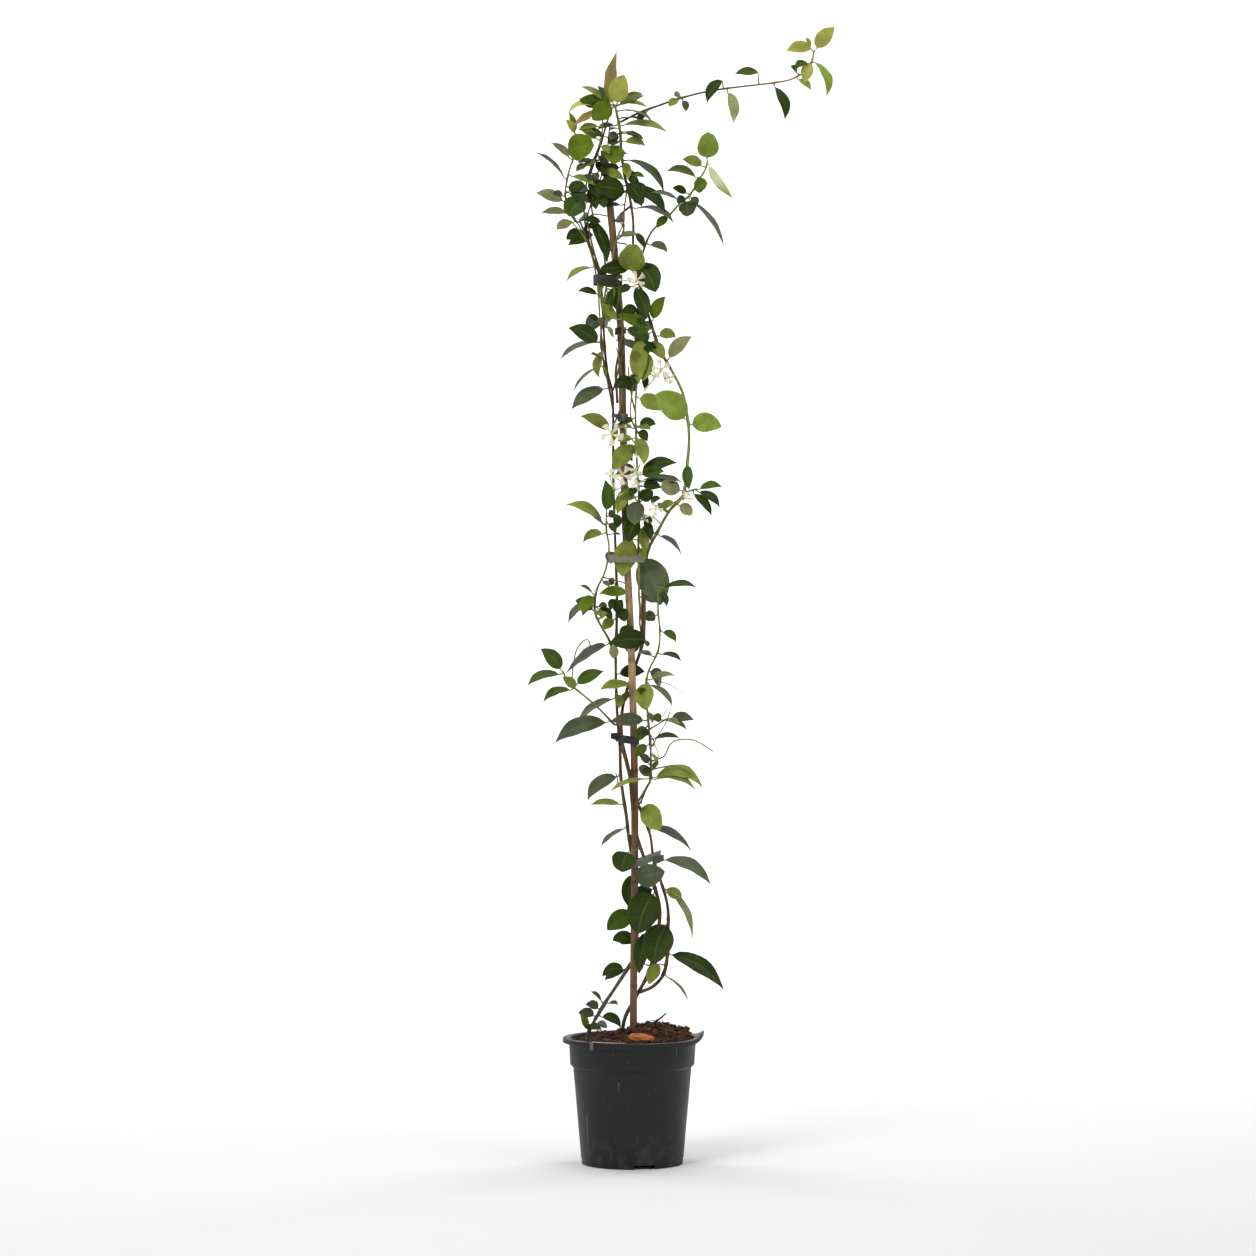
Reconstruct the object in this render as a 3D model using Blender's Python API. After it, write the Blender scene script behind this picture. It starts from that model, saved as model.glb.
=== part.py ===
"""Potted star jasmine: a nursery pot of peat, a bamboo cane and twining, leafy vines tied to it.

Lengths below are in millimetres. The origin is the middle of the pot's base on the floor,
+Z is up, +X is to the right and -Y is the front, the side that the eye sees.
"""

import math
import random

import bmesh
import bpy
from mathutils import Vector
from mathutils.bvhtree import BVHTree

MM = 0.001
GAP = 0.35  # clear space between pieces that touch on the real plant
MERGE = 0.0001  # corners of one body that lie closer than this are one

# The eye that the plant is seen from; x and z below are read on the plane y = 0 along its sight lines
EYE_X = -5.2
EYE_Z = 642.0
EYE_DISTANCE = 4680.0

# Nursery pot
RIM_RADIUS = 83.5
RIM_INNER = 74.6
RIM_TOP = 151.0
LIP_DROP = 5.0
BAND_BOTTOM = 117.0
BAND_RADIUS = 76.0
BODY_RADIUS = 71.0
FOOT_RADIUS = 61.0
POT_WALL = 1.8
FLOOR_TOP = 8.0
HOLLOW_HEIGHT = 6.0  # the base is raised this much between its centre disc and its foot ring
POT_SIDES = 36
DRAIN_HOLES = 6
DRAIN_RADIUS = 5.0
NOTCH_X = (2.0, 27.0)
NOTCH_HEIGHT = 5.0
RIM_PINCH = 8.5  # the lip is bent up this much at its right end
RIM_SPREAD = 2.5  # and out this much

# Peat in the pot
SOIL_LEVEL = 150.0
SOIL_HEAP = 17.0
SOIL_SIDES = 24

# Bamboo cane
CANE_RADIUS = 4.4
CANE_FOOT = 60.0
CANE_ROUTE = (
    (1, 0, 150), (2, 0, 250), (3, 0, 400), (2, 0, 500), (0, 0, 580), (-4, 0, 680), (-8, 0, 760),
    (-11, 0, 880), (-14, 0, 1000), (-23, 0, 1110), (-27, 0, 1150), (-34, 0, 1215),
)

STEM_SIDES = 5

# Leaves
BLADE_THICK = 0.7
PETIOLE = 1.0  # radius of the leaf stalk
WIDTH_SHARE = 0.38  # width of a blade over its length
WIDEST = 26.0  # the widest blade on the plant, unless it is seen to be wider
WIDTH_GAIN = 1.12  # a folded blade is this much wider than it looks
LONG_BLADE = 64.0  # blades longer than this have one more ring of corners
FOLD = math.radians(14)  # each half of a blade rises this much from the midrib
UNDERSIDE = "PU"  # blades of these tones turn their pale underside to the eye
DEPTH_LIMIT = 58.0
DEPTH_STEP = 5.0
FRONT_DEPTH = 36.0  # a blade's tip comes this much nearer to the eye than its root at most
FULL_LENGTH = 66.0  # the longest blade on the plant, unless it is seen to be longer

SEED = 11

# Every stem is its radius at the foot and at the tip, and its route as (x, y, z).
# Every leaf is the x, z of its blade's start, the x, z of its tip, its seen width, its tone, the
# rise of its bow and, for some, how far its tip leans back from its root.  A leaf springs from
# the nearest point of its own plant part's stems.

VINE_RIGHT = {
    "stems": (
        (2.4, 1.4, (
            (-13, 4, 132), (-13, 4, 155), (-6, 8.5, 184), (3, 10, 197), (9, 8.5, 205), (14, 6, 216),
            (22, 2, 235), (28, -2, 260), (33, -4, 290), (33, -5, 303), (27, -6, 330), (20, -7.5, 350),
            (14, -8.5, 366), (8, -9, 385), (3, -9, 402), (0, -9, 425), (-1, -9, 445), (-4, -9, 470),
            (-9, -8.5, 490), (-12, -6.5, 505), (-13, -5, 520), (-13, -3, 535), (-11, 4, 552),
            (-4, 9.5, 575), (5, 9.5, 600), (11, 7, 620), (13, 5, 645), (13, 4, 680), (13, 4, 705),
            (16, 3, 725), (23, 1, 745), (30, 0, 757), (36, -2, 770), (52, -4, 793), (61, -4, 803),
            (62, -4, 815), (66, -5, 840), (68, -5, 870), (66, -4, 895), (60, -3, 925), (54, -2, 940),
            (45, 0, 955), (38, 2, 967), (28, 4, 985), (24, 5, 995), (21, 6, 1012), (13, 7, 1040),
            (5, 7, 1070), (1, 6, 1100), (1, 4, 1130), (-1, 3, 1150), (-7, 3, 1175), (-12, 4, 1200),
            (-15, 5, 1240), (-18, 5, 1256), (-21, 4, 1270),
        )),
        (2.2, 1.3, (
            (9, 8.5, 205), (25, 8, 212), (38, 5, 228), (42, 3, 245), (43, 2, 270), (43, 2, 292),
            (42, 2, 310), (38, 3, 328), (33, 4, 342), (29, 5, 355), (25, 6, 368), (21, 7, 395),
            (15, 9, 410), (9, 10, 425), (4, 10, 440), (3, 9.5, 470), (3, 9, 500),
        )),
        (1.0, 0.8, ((-6, 3, 1172), (-11, -1, 1150), (-10, -6, 1130), (-20, -8, 1105), (-24, -8, 1082))),
    ),
    "leaves": (
        (-6, 373, -12, 349, 27, "D", 2), (39, 364, 94, 334, 12, "G", 9), (5, 338, 39, 350, 26, "G", 2),
        (28, 328, 7, 275, 37, "D", 4), (37, 331, 58, 317, 10, "O", 2), (46, 326, 72, 268, 8, "P", 7),
        (43, 291, 26, 238, 34, "G", 4), (18, 277, 9, 227, 17, "D", 3),
        (43, 249, 110, 208, 17, "G", 10), (32, 239, 20, 214, 15, "O", 2), (38, 228, 67, 196, 3, "M", 3),
        (9, 430, 33, 399, 24, "L", 3), (24, 402, 71, 374, 8, "U", 7), (10, 724, 34, 669, 36, "G", 4),
        (32, 755, 59, 729, 4, "U", 5), (16, 628, -28, 623, 22, "D", 3), (52, 790, 68, 777, 15, "P", 2), (55, 795, 33, 783, 9, "O", 3),
        (57, 807, 34, 812, 19, "P", 2), (67, 843, 68, 808, 14, "M", 3), (63, 890, 27, 922, 30, "L", 4),
        (70, 887, 107, 883, 22, "L", 4), (42, 963, 72, 992, 15, "P", 4), (25, 992, 52, 991, 12, "O", 4),
        (22, 985, 38, 964, 14, "O", 2), (22, 1008, 40, 1040, 14, "B", 3), (17, 1003, -20, 1018, 14, "B", 3),
        (3, 1050, 17, 1012, 17, "D", 3), (6, 1024, -12, 1021, 12, "D", 2), (0, 1070, 6, 1102, 30, "O", 3),
        (8, 1078, 28, 1045, 27, "D", 3), (-4, 1073, -40, 1070, 16, "D", 3), (0, 1148, 50, 1128, 10, "G", 8),
        (0, 1172, 40, 1140, 13, "D", 6),
        (-2, 1165, -45, 1170, 24, "D", 3), (-5, 1180, 11, 1148, 18, "D", 3), (-12, 1112, 7, 1115, 6, "P", 2),
        (-5, 1204, 38, 1165, 11, "D", 9), (-5, 1186, 15, 1183, 7, "M", 2), (-12, 1227, 16, 1220, 9, "O", 4),
        (-10, 1246, 42, 1237, 9, "O", 6), (-15, 1255, 15, 1250, 4, "D", 3), (-10, 1264, 24, 1250, 5, "G", 4),
        (-12, 1272, 13, 1283, 10, "O", 3), (-18, 1221, -22, 1199, 23, "B", 2), (-12, 1205, -5, 1181, 10, "Y", 2),
        (-28, 1270, -19, 1334, 12, "Z", 2), (-18, 1272, -10, 1306, 22, "Y", 2), (-30, 1273, -62, 1292, 8, "L", 3),
        (-22, 1268, -48, 1252, 22, "B", 3), (-30, 1270, -64, 1277, 12, "B", 3), (-12, 1197, -38, 1184, 13, "D", 3),
        (-16, 1237, -27, 1222, 11, "D", 2),
    ),
}

VINE_LEFT = {
    "stems": (
        (2.3, 1.2, (
            (-56, -5, 134), (-52, -5, 158), (-34, -4, 190), (-14, 2, 220), (-4, 8, 236), (4, 9.5, 252),
            (6, 9.5, 300), (3, 9.5, 350), (-3, 8.5, 378), (-5, 8, 400), (-7, 6.5, 415), (-10, 4.5, 432),
            (-12, 3, 450), (-14, 3, 465), (-15, 3, 500), (-17, 3, 520), (-19, 2, 560), (-20, 2, 600),
            (-19, 2, 640), (-18, 3, 655), (-19, 4, 700), (-21, 4, 760), (-23, 3, 830), (-23, 3, 880),
            (-24, 2, 925), (-30, 1, 950), (-33, 1, 980), (-35, 1, 1010), (-37, 2, 1045), (-38, 2, 1060),
            (-42, 2, 1072), (-47, 1, 1085), (-53, 0, 1104), (-58, -1, 1118), (-63, -1, 1130),
        )),
        (1.1, 0.8, ((-23, 1, 884), (-19, -5, 895), (-14, -9, 908), (-12, -9, 930), (-15, -9, 960), (-19, -9, 978))),
        (1.1, 0.8, (
            (-31, 1, 960), (-36, -4, 985), (-39, -6, 1015), (-41, -5, 1045), (-43, -5, 1064), (-48, -7, 1085),
            (-56, -9, 1108), (-66, -10, 1124), (-74, -10, 1131),
        )),
    ),
    "leaves": (
        (1, 352, -4, 306, 17, "D", 3), (2, 300, -30, 279, 22, "M", 4), (8, 262, -24, 267, 16, "D", 6),
        (-4, 232, -36, 224, 14, "D", 5), (-33, 191, -50, 206, 4, "D", 2), (-30, 191, -17, 190, 4, "D", 2),
        (-37, 184, -56, 190, 10, "G", 3), (-43, 176, -65, 180, 11, "G", 3), (-55, 162, -63, 179, 8, "O", 2),
        (-38, 176, -14, 162, 11, "D", 6), (-18, 467, -54, 435, 14, "G", 7), (-10, 431, -50, 430, 6, "O", 3),
        (-6, 405, -38, 380, 6, "G", 3), (-22, 560, -67, 527, 9, "O", 6), (-3, 575, -39, 568, 11, "O", 3),
        (-17, 668, -9, 650, 13, "D", 2), (-17, 694, -29, 697, 9, "G", 2), (-17, 632, 2, 643, 10, "D", 2),
        (-22, 655, -35, 640, 12, "O", 2), (-20, 877, -63, 896, 14, "O", 5), (-34, 929, -73, 904, 16, "G", 5),
        (-42, 985, -77, 1002, 18, "D", 4), (-43, 985, -87, 964, 8, "G", 6), (-37, 1010, -52, 1015, 7, "D", 2),
        (-35, 980, -40, 942, 10, "O", 4), (-36, 957, -71, 926, 4, "G", 5), (-27, 1010, -40, 1042, 13, "O", 3),
        (-45, 1077, -79, 1058, 8, "O", 5), (-37, 1042, -66, 1046, 8, "D", 3),
    ),
}

VINE_FRONT = {
    "stems": (
        (1.5, 1.0, (
            (12, 0, 652), (10, -5, 662), (8, -9, 680), (8, -10, 700), (7, -10, 745), (8, -10, 768),
            (8, -9, 800), (6, -9, 830), (5, -9, 860), (4, -9, 885), (4, -9, 915), (6, -8, 940), (10, -8, 962),
            (12, -8, 985),
        )),
    ),
    "leaves": (
        (0, 748, -12, 703, 26, "O", 3, 0), (10, 765, 15, 733, 11, "O", 3), (15, 772, 22, 746, 10, "D", 2),
        (5, 798, 3, 766, 20, "G", 2), (4, 776, -5, 745, 18, "D", 2), (8, 792, 25, 806, 15, "D", 2),
        (-2, 810, -18, 778, 14, "L", 3),
        (10, 828, 54, 840, 14, "D", 5), (9, 820, 60, 817, 7, "D", 5), (8, 812, 35, 810, 11, "D", 3),
        (4, 882, -18, 883, 5, "P", 2), (8, 875, 14, 838, 15, "O", 3), (5, 884, 28, 887, 12, "D", 3),
        (3, 862, -22, 832, 20, "O", 4), (5, 920, 35, 903, 18, "O", 3), (10, 980, 12, 938, 20, "O", 3),
        (8, 940, -22, 930, 14, "D", 3), (12, 950, 15, 926, 8, "D", 2), (12, 985, 10, 1004, 12, "M", 2),
    ),
}

SHOOT_CENTRE = {
    "stems": (
        (1.5, 1.0, (
            (6, -9, 431), (11, -11, 441), (18, -11, 452), (22, -11, 462), (22, -11, 480), (22, -10, 500),
            (20, -10, 520), (18, -10, 545), (17, -10, 583), (28, -11, 605), (33, -12, 625), (33, -12, 640),
            (31, -12, 660), (30, -12, 678), (33, -12, 692),
        )),
        (0.9, 0.8, ((20, -10, 520), (31, -12, 527), (43, -13, 534))),
        (0.9, 0.8, ((22, -11, 482), (38, -13, 488), (45, -14, 502), (56, -15, 508), (75, -15, 507), (97, -14, 494))),
        (0.9, 0.8, ((22, -11, 472), (38, -14, 476), (55, -16, 476), (73, -17, 466))),
    ),
    "leaves": (
        (20, 463, -27, 446, 5, "O", 4), (22, 464, 85, 450, 15, "O", 14), (26, 509, 57, 510, 6, "D", 4),
        (21, 477, 8, 490, 9, "G", 2), (20, 504, 4, 487, 11, "M", 2), (20, 527, 8, 507, 13, "M", 2),
        (43, 535, 74, 531, 11, "G", 4), (42, 530, 65, 520, 5, "M", 3), (38, 531, 24, 534, 10, "M", 2),
        (17, 531, -27, 530, 15, "G", 2), (15, 581, 17, 543, 21, "O", 3), (17, 580, 52, 585, 7, "P", 4),
        (21, 577, 48, 548, 7, "G", 5), (27, 608, 6, 613, 6, "U", 2), (33, 611, 59, 602, 6, "D", 4),
        (33, 694, 77, 691, 8, "D", 5), (34, 692, 41, 668, 8, "D", 2),
        (29, 658, 16, 652, 13, "D", 2), (33, 640, 52, 625, 9, "M", 4),
    ),
}

SHOOT_LEFT_LOW = {
    "stems": (
        (1.4, 0.9, ((-20, -1, 526), (-27, -4, 532), (-45, -9, 550), (-66, -12, 567), (-78, -14, 578), (-83, -15, 590))),
        (0.8, 0.8, ((-73, -13, 573), (-71, -16, 590), (-69, -18, 610), (-62, -19, 624), (-54, -19, 629), (-50, -19, 619))),
    ),
    "leaves": (
        (-27, 530, -93, 504, 17, "G", 8), (-82, 590, -110, 617, 17, "M", 3), (-83, 589, -126, 573, 10, "M", 6),
        (-66, 575, -34, 590, 14, "M", 3), (-64, 567, -84, 583, 11, "O", 2), (-72, 567, -107, 553, 9, "M", 6),
    ),
}

SHOOT_LEFT_HIGH = {
    "stems": (
        (1.5, 1.0, (
            (-20, -3, 612), (-28, -6, 628), (-38, -9, 645), (-45, -10, 662), (-46, -10, 674), (-43, -10, 687),
            (-36, -9, 703), (-30, -9, 716), (-28, -9, 726), (-28, -9, 738), (-30, -10, 752), (-32, -10, 766),
            (-31, -10, 780),
        )),
        (0.8, 0.8, ((-36, -9, 703), (-24, -10, 702), (-12, -11, 697), (0, -10, 690))),
    ),
    "leaves": (
        (-30, 624, -80, 587, 9, "U", 5), (-26, 625, -22, 605, 11, "P", 2), (-45, 684, -60, 660, 14, "B", 3),
        (-50, 674, -77, 648, 8, "G", 5), (-47, 682, -63, 693, 4, "M", 2), (-43, 668, -24, 652, 10, "D", 3),
        (-35, 656, -46, 662, 7, "P", 2), (-7, 684, -40, 683, 12, "B", 3), (-30, 757, -59, 744, 10, "O", 6),
        (-29, 765, -80, 790, 10, "O", 8), (-30, 782, -33, 820, 15, "M", 3),
    ),
}

SHOOT_RIGHT = {
    "stems": ((1.1, 0.8, ((64, -6, 806), (70, -8, 807), (77, -10, 809))),),
    "leaves": (
        (77, 810, 108, 811, 8, "M", 4), (77, 808, 105, 787, 9, "D", 4), (74, 803, 95, 777, 9, "D", 3),
    ),
}

SHOOT_LEFT_TOP = {
    "stems": (
        (1.2, 0.9, (
            (-65, -2, 1131), (-75, -4, 1140), (-80, -5, 1155), (-80, -5, 1170), (-76, -5, 1190), (-70, -5, 1205),
            (-68, -5, 1220), (-67, -5, 1234),
        )),
    ),
    "leaves": (
        (-68, 1130, -91, 1120, 11, "P", 3), (-78, 1138, -110, 1140, 7, "P", 3), (-81, 1152, -116, 1164, 13, "P", 3),
        (-80, 1160, -96, 1163, 7, "G", 2), (-79, 1180, -116, 1213, 6, "D", 4), (-70, 1203, -98, 1224, 8, "P", 3),
        (-77, 1212, -46, 1221, 30, "B", 3), (-80, 1163, -58, 1176, 12, "D", 2), (-67, 1234, -80, 1252, 8, "Y", 2),
        (-76, 1186, -45, 1173, 9, "O", 3),
    ),
}

SHOOT_TOP = {
    "stems": (
        (1.2, 0.9, (
            (-50, 4, 1088), (-52, 6, 1104), (-57, 6, 1130), (-58, 5, 1155), (-54, 2, 1180), (-48, -3, 1200),
            (-41, -7, 1215), (-37, -8, 1235), (-35, -8, 1255), (-37, -8, 1268),
        )),
    ),
    "leaves": (
        (-58, 1117, -79, 1108, 13, "D", 3), (-48, 1132, -30, 1080, 16, "D", 3), (-56, 1158, -76, 1136, 25, "B", 3),
        (-38, 1268, -70, 1245, 9, "Z", 6), (-37, 1269, -77, 1260, 8, "Y", 9), (-36, 1245, -65, 1239, 7, "O", 3),
        (-38, 1227, -60, 1238, 9, "O", 2), (-57, 1165, -36, 1178, 12, "D", 2),
    ),
}

SHOOT_RIGHT_TOP = {
    "stems": (
        (1.3, 0.9, (
            (6, 2, 1074), (11, -3, 1088), (15, -6, 1100), (25, -8, 1120), (45, -10, 1138), (60, -11, 1155),
            (68, -11, 1160), (73, -11, 1168), (80, -11, 1180), (88, -11, 1193), (90, -11, 1203),
        )),
    ),
    "leaves": (
        (14, 1105, 42, 1092, 9, "G", 5), (60, 1155, 22, 1165, 6, "G", 3), (68, 1163, 48, 1170, 9, "D", 2),
        (62, 1158, 66, 1136, 20, "D", 2), (72, 1166, 90, 1176, 16, "B", 2), (68, 1158, 110, 1100, 9, "G", 7),
        (90, 1205, 90, 1237, 24, "L", 1), (88, 1195, 60, 1204, 12, "Z", 3), (80, 1183, 41, 1190, 10, "M", 6),
        (90, 1203, 122, 1157, 17, "V", 5), (45, 1139, 30, 1122, 10, "M", 2),
    ),
}

SHOOT_LONG = {
    "stems": (
        (1.4, 0.9, (
            (-13, 1, 1250), (0, -4, 1257), (20, -5, 1265), (45, -6, 1273), (60, -6, 1279), (87, -6, 1285),
            (103, -6, 1288), (125, -6, 1291), (160, -5, 1295), (180, -4, 1298), (192, -4, 1301), (205, -3, 1308),
            (213, -3, 1315), (217, -3, 1325), (218, -3, 1335),
        )),
    ),
    "leaves": (
        (58, 1280, 44, 1268, 9, "O", 2), (60, 1277, 64, 1262, 8, "D", 2), (101, 1291, 88, 1270, 10, "D", 7),
        (114, 1290, 121, 1247, 12, "P", 4), (162, 1299, 123, 1307, 10, "M", 5), (170, 1296, 183, 1252, 13, "D", 5),
        (219, 1335, 243, 1363, 17, "Y", 2), (215, 1337, 185, 1334, 14, "Y", 4), (212, 1322, 196, 1311, 8, "M", 5),
        (216, 1325, 208, 1296, 14, "Y", 2), (219, 1321, 233, 1280, 12, "L", 8), (214, 1338, 208, 1350, 6, "Y", 1),
        (20, 1266, 6, 1248, 8, "D", 2), (196, 1303, 214, 1287, 8, "L", 3),
    ),
}

# Order in which the parts take their room; the name of each is its node's name
GREENERY = (
    ("vine_left", VINE_LEFT, None),
    ("vine_right", VINE_RIGHT, None),
    ("vine_front", VINE_FRONT, "vine_right"),
    ("shoot_centre", SHOOT_CENTRE, "vine_right"),
    ("shoot_left_low", SHOOT_LEFT_LOW, "vine_left"),
    ("shoot_left_high", SHOOT_LEFT_HIGH, "vine_left"),
    ("shoot_right", SHOOT_RIGHT, "vine_right"),
    ("shoot_left_top", SHOOT_LEFT_TOP, "vine_left"),
    ("shoot_top", SHOOT_TOP, "vine_left"),
    ("shoot_right_top", SHOOT_RIGHT_TOP, "vine_right"),
    ("shoot_long", SHOOT_LONG, "vine_right"),
)

# Leaves on the far side, that the eye can't see: how far apart along a stem, on which parts
BACK_SPACING = 122.0
BACK_PARTS = ("vine_left", "vine_right", "vine_front", "shoot_centre", "shoot_left_high", "shoot_top", "shoot_long")

TUBE_LENGTH = 8.5  # from a flower's face to the foot of its tube

# Flower sprays: parent, stalk route, then flowers as (x, y, z, radius, facing) and buds as (x, y, z)
FACE_EYE = (0.0, -1.0, 0.1)
FACE_LEFT = (-0.7, -0.7, 0.1)
FACE_RIGHT = (0.6, -0.75, 0.2)
FACE_UP = (0.1, -0.6, 0.8)
FACE_DOWN = (0.1, -0.8, -0.5)
SPRAYS = (
    ("spray_middle", "vine_front", (
        (6, -12, 795), (1, -16, 802), (-5, -19, 812), (-9, -20, 817),
    ), (
        (-12, -30, 826, 12, FACE_EYE), (4, -26, 832, 10, FACE_RIGHT), (-27, -24, 824, 10, FACE_LEFT),
        (7, -24, 814, 8, FACE_DOWN), (-25, -22, 809, 8, FACE_LEFT),
    ), ((-14, -18, 802),)),
    ("spray_upper", "vine_front", (
        (3, -12, 866), (-3, -16, 870), (-10, -18, 871),
    ), ((-22, -28, 874, 12, FACE_EYE),), ((5, -21, 849), (-8, -24, 884))),
    ("spray_right", "vine_right", (
        (53, -8, 792), (57, -12, 796), (60, -14, 799),
    ), ((62, -22, 803, 8, FACE_UP),), ((70, -18, 797),)),
    ("spray_centre", "vine_right", (
        (33, -5, 768), (29, -10, 772), (24, -13, 776),
    ), ((28, -22, 786, 9, FACE_EYE), (14, -22, 773, 7, FACE_LEFT)), ()),
    ("spray_high", "vine_right", (
        (41, -3, 960), (38, -10, 955), (34, -14, 951),
    ), ((34, -24, 953, 11, FACE_EYE), (44, -20, 943, 8, FACE_RIGHT), (24, -20, 945, 7, FACE_LEFT)), ((16, -18, 929),)),
    ("spray_top", "vine_right", (
        (7, 2, 1062), (6, -6, 1058), (3, -12, 1056),
    ), ((5, -21, 1060, 11, FACE_EYE),), ((-14, -17, 1060),)),
)

# Ties: name, height, height of the band, slope across x, what each holds, and slack as (x, y, radius)
TIES = (
    ("tie_low", 363.0, 9.0, 0.38, ("cane", "vine_left", "vine_right"), ()),
    ("tie_middle", 508.0, 9.0, -0.15, ("cane", "vine_left", "vine_right"), ()),
    ("tie_upper", 725.0, 9.0, 0.0, ("cane", "vine_left", "vine_front"), ((-25, -15, 1.5), (11, -16, 1.5))),
    ("tie_clip", 894.5, 9.0, 0.0, ("cane",), ()),
    ("tie_band", 998.5, 8.0, 0.1, ("cane",), ()),
    ("tie_top", 1059.0, 13.0, 0.0, ("cane", "vine_left"), ()),
)
TIE_THICK = 1.6
BELT_SIDES = 12
TIE_REACH = 32.0  # a stem further than this from the cane isn't in the tie

# Colours as (red, green, blue), roughness
COLOURS = {
    "pot": ((0.04, 0.038, 0.04), 0.5),
    "soil": ((0.035, 0.015, 0.009), 0.95),
    "bark": ((0.57, 0.17, 0.05), 0.8),
    "cane": ((0.30, 0.17, 0.09), 0.55),
    "tie": ((0.03, 0.04, 0.035), 0.5),
    "strip": ((0.02, 0.02, 0.02), 0.35),
    "leaf": ((0.06, 0.12, 0.03), 0.4),
    "young": ((0.24, 0.32, 0.06), 0.45),
    "petal": ((0.85, 0.82, 0.70), 0.5),
}
YOUNG_PARTS = ("shoot_left_top", "shoot_long", "shoot_right_top")


def clear_scene():
    for item in list(bpy.data.objects):
        bpy.data.objects.remove(item, do_unlink=True)


def material(name):
    found = bpy.data.materials.get(name)
    if found:
        return found
    colour, roughness = COLOURS[name]
    made = bpy.data.materials.new(name)
    made.use_nodes = True
    shader = made.node_tree.nodes["Principled BSDF"]
    shader.inputs["Base Color"].default_value = (*colour, 1.0)
    shader.inputs["Roughness"].default_value = roughness
    shader.inputs["Metallic"].default_value = 0.0
    return made


def mesh_object(name, points, faces, colour=None):
    """A closed mesh from points in millimetres, with its faces turned out."""
    mesh = bpy.data.meshes.new(name)
    mesh.from_pydata([Vector(p) * MM for p in points], [], faces)
    work = bmesh.new()
    work.from_mesh(mesh)
    bmesh.ops.recalc_face_normals(work, faces=work.faces)
    work.to_mesh(mesh)
    work.free()
    made = bpy.data.objects.new(name, mesh)
    bpy.context.scene.collection.objects.link(made)
    if colour:
        mesh.materials.append(material(colour))
    return made


def seen_at(x, y, z):
    """The real place of a point read at (x, z) that lies at the depth y."""
    share = (EYE_DISTANCE + y) / EYE_DISTANCE
    return Vector((EYE_X + (x - EYE_X) * share, y, EYE_Z + (z - EYE_Z) * share))


def smooth_route(route, step):
    """Points about `step` apart on a smooth curve through the route."""
    points = [seen_at(*place) for place in route]
    first = points[0] * 2 - points[1]
    last = points[-1] * 2 - points[-2]
    padded = [first, *points, last]
    result = [points[0]]
    for index in range(1, len(padded) - 2):
        before, start, end, after = padded[index - 1:index + 3]
        count = max(1, round((end - start).length / step))
        for part in range(1, count + 1):
            t = part / count
            result.append(0.5 * (
                2 * start + (end - before) * t + (2 * before - 5 * start + 4 * end - after) * t ** 2
                + (3 * start - before - 3 * end + after) * t ** 3
            ))
    return result


def thin_out(points, step):
    """Leaves out points of nearly straight runs that lie closer than `step`."""
    kept = [points[0]]
    for index in range(1, len(points) - 1):
        run = points[index] - kept[-1]
        bend = run.angle(points[index + 1] - points[index], 0.0)
        if run.length >= step or (bend > 0.35 and run.length > step * 0.4):
            kept.append(points[index])
    kept.append(points[-1])
    return kept


def tube_shape(points, radii, sides):
    """Points and faces of a round tube with closed ends."""
    verts = []
    faces = []
    across = Vector((1, 0, 0))
    for index, centre in enumerate(points):
        ahead = points[min(index + 1, len(points) - 1)]
        behind = points[max(index - 1, 0)]
        along = (ahead - behind).normalized()
        across = (across - along * across.dot(along)).normalized()
        beside = along.cross(across)
        for side in range(sides):
            angle = 2 * math.pi * side / sides
            verts.append(centre + (across * math.cos(angle) + beside * math.sin(angle)) * radii[index])
        if index:
            low = (index - 1) * sides
            for side in range(sides):
                after = (side + 1) % sides
                faces.append((low + side, low + after, low + sides + after, low + sides + side))
    top = (len(points) - 1) * sides
    faces.append(tuple(range(sides - 1, -1, -1)))
    faces.append(tuple(range(top, top + sides)))
    return verts, faces


def tapered(points, start, end):
    count = len(points) - 1
    return [start + (end - start) * index / count for index in range(count + 1)]


class Stem:
    """A stem's centre line and radii, for its tube and for what springs from it."""

    def __init__(self, start, end, route, step):
        self.points = thin_out(smooth_route(route, step * 0.5), step)
        self.radii = tapered(self.points, start, end)

    def nearest(self, x, z):
        """Closest point of the centre line as the eye sees it, after its distance."""
        best = None
        for index in range(len(self.points) - 1):
            start, end = self.points[index], self.points[index + 1]
            aim = seen_at(x, start.y, z)
            run = end - start
            flat = Vector((run.x, 0, run.z))
            t = (aim - start).dot(flat) / max(flat.length_squared, 1e-6)
            inset = 1.7 / run.length
            t = min(max(t, inset if index == 0 else 0.0), 1.0 - (inset if index == len(self.points) - 2 else 0.0))
            place = start + run * t
            gap = math.hypot(aim.x - place.x, aim.z - place.z)
            if best is None or gap < best[0]:
                best = (gap, place)
        return best

    def at_height(self, z):
        """Centre and radius where the stem passes the height z, or None."""
        for index in range(len(self.points) - 1):
            start, end = self.points[index], self.points[index + 1]
            if min(start.z, end.z) <= z <= max(start.z, end.z) and abs(end.z - start.z) > 1e-6:
                t = (z - start.z) / (end.z - start.z)
                return start + (end - start) * t, self.radii[index]
        return None


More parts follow.
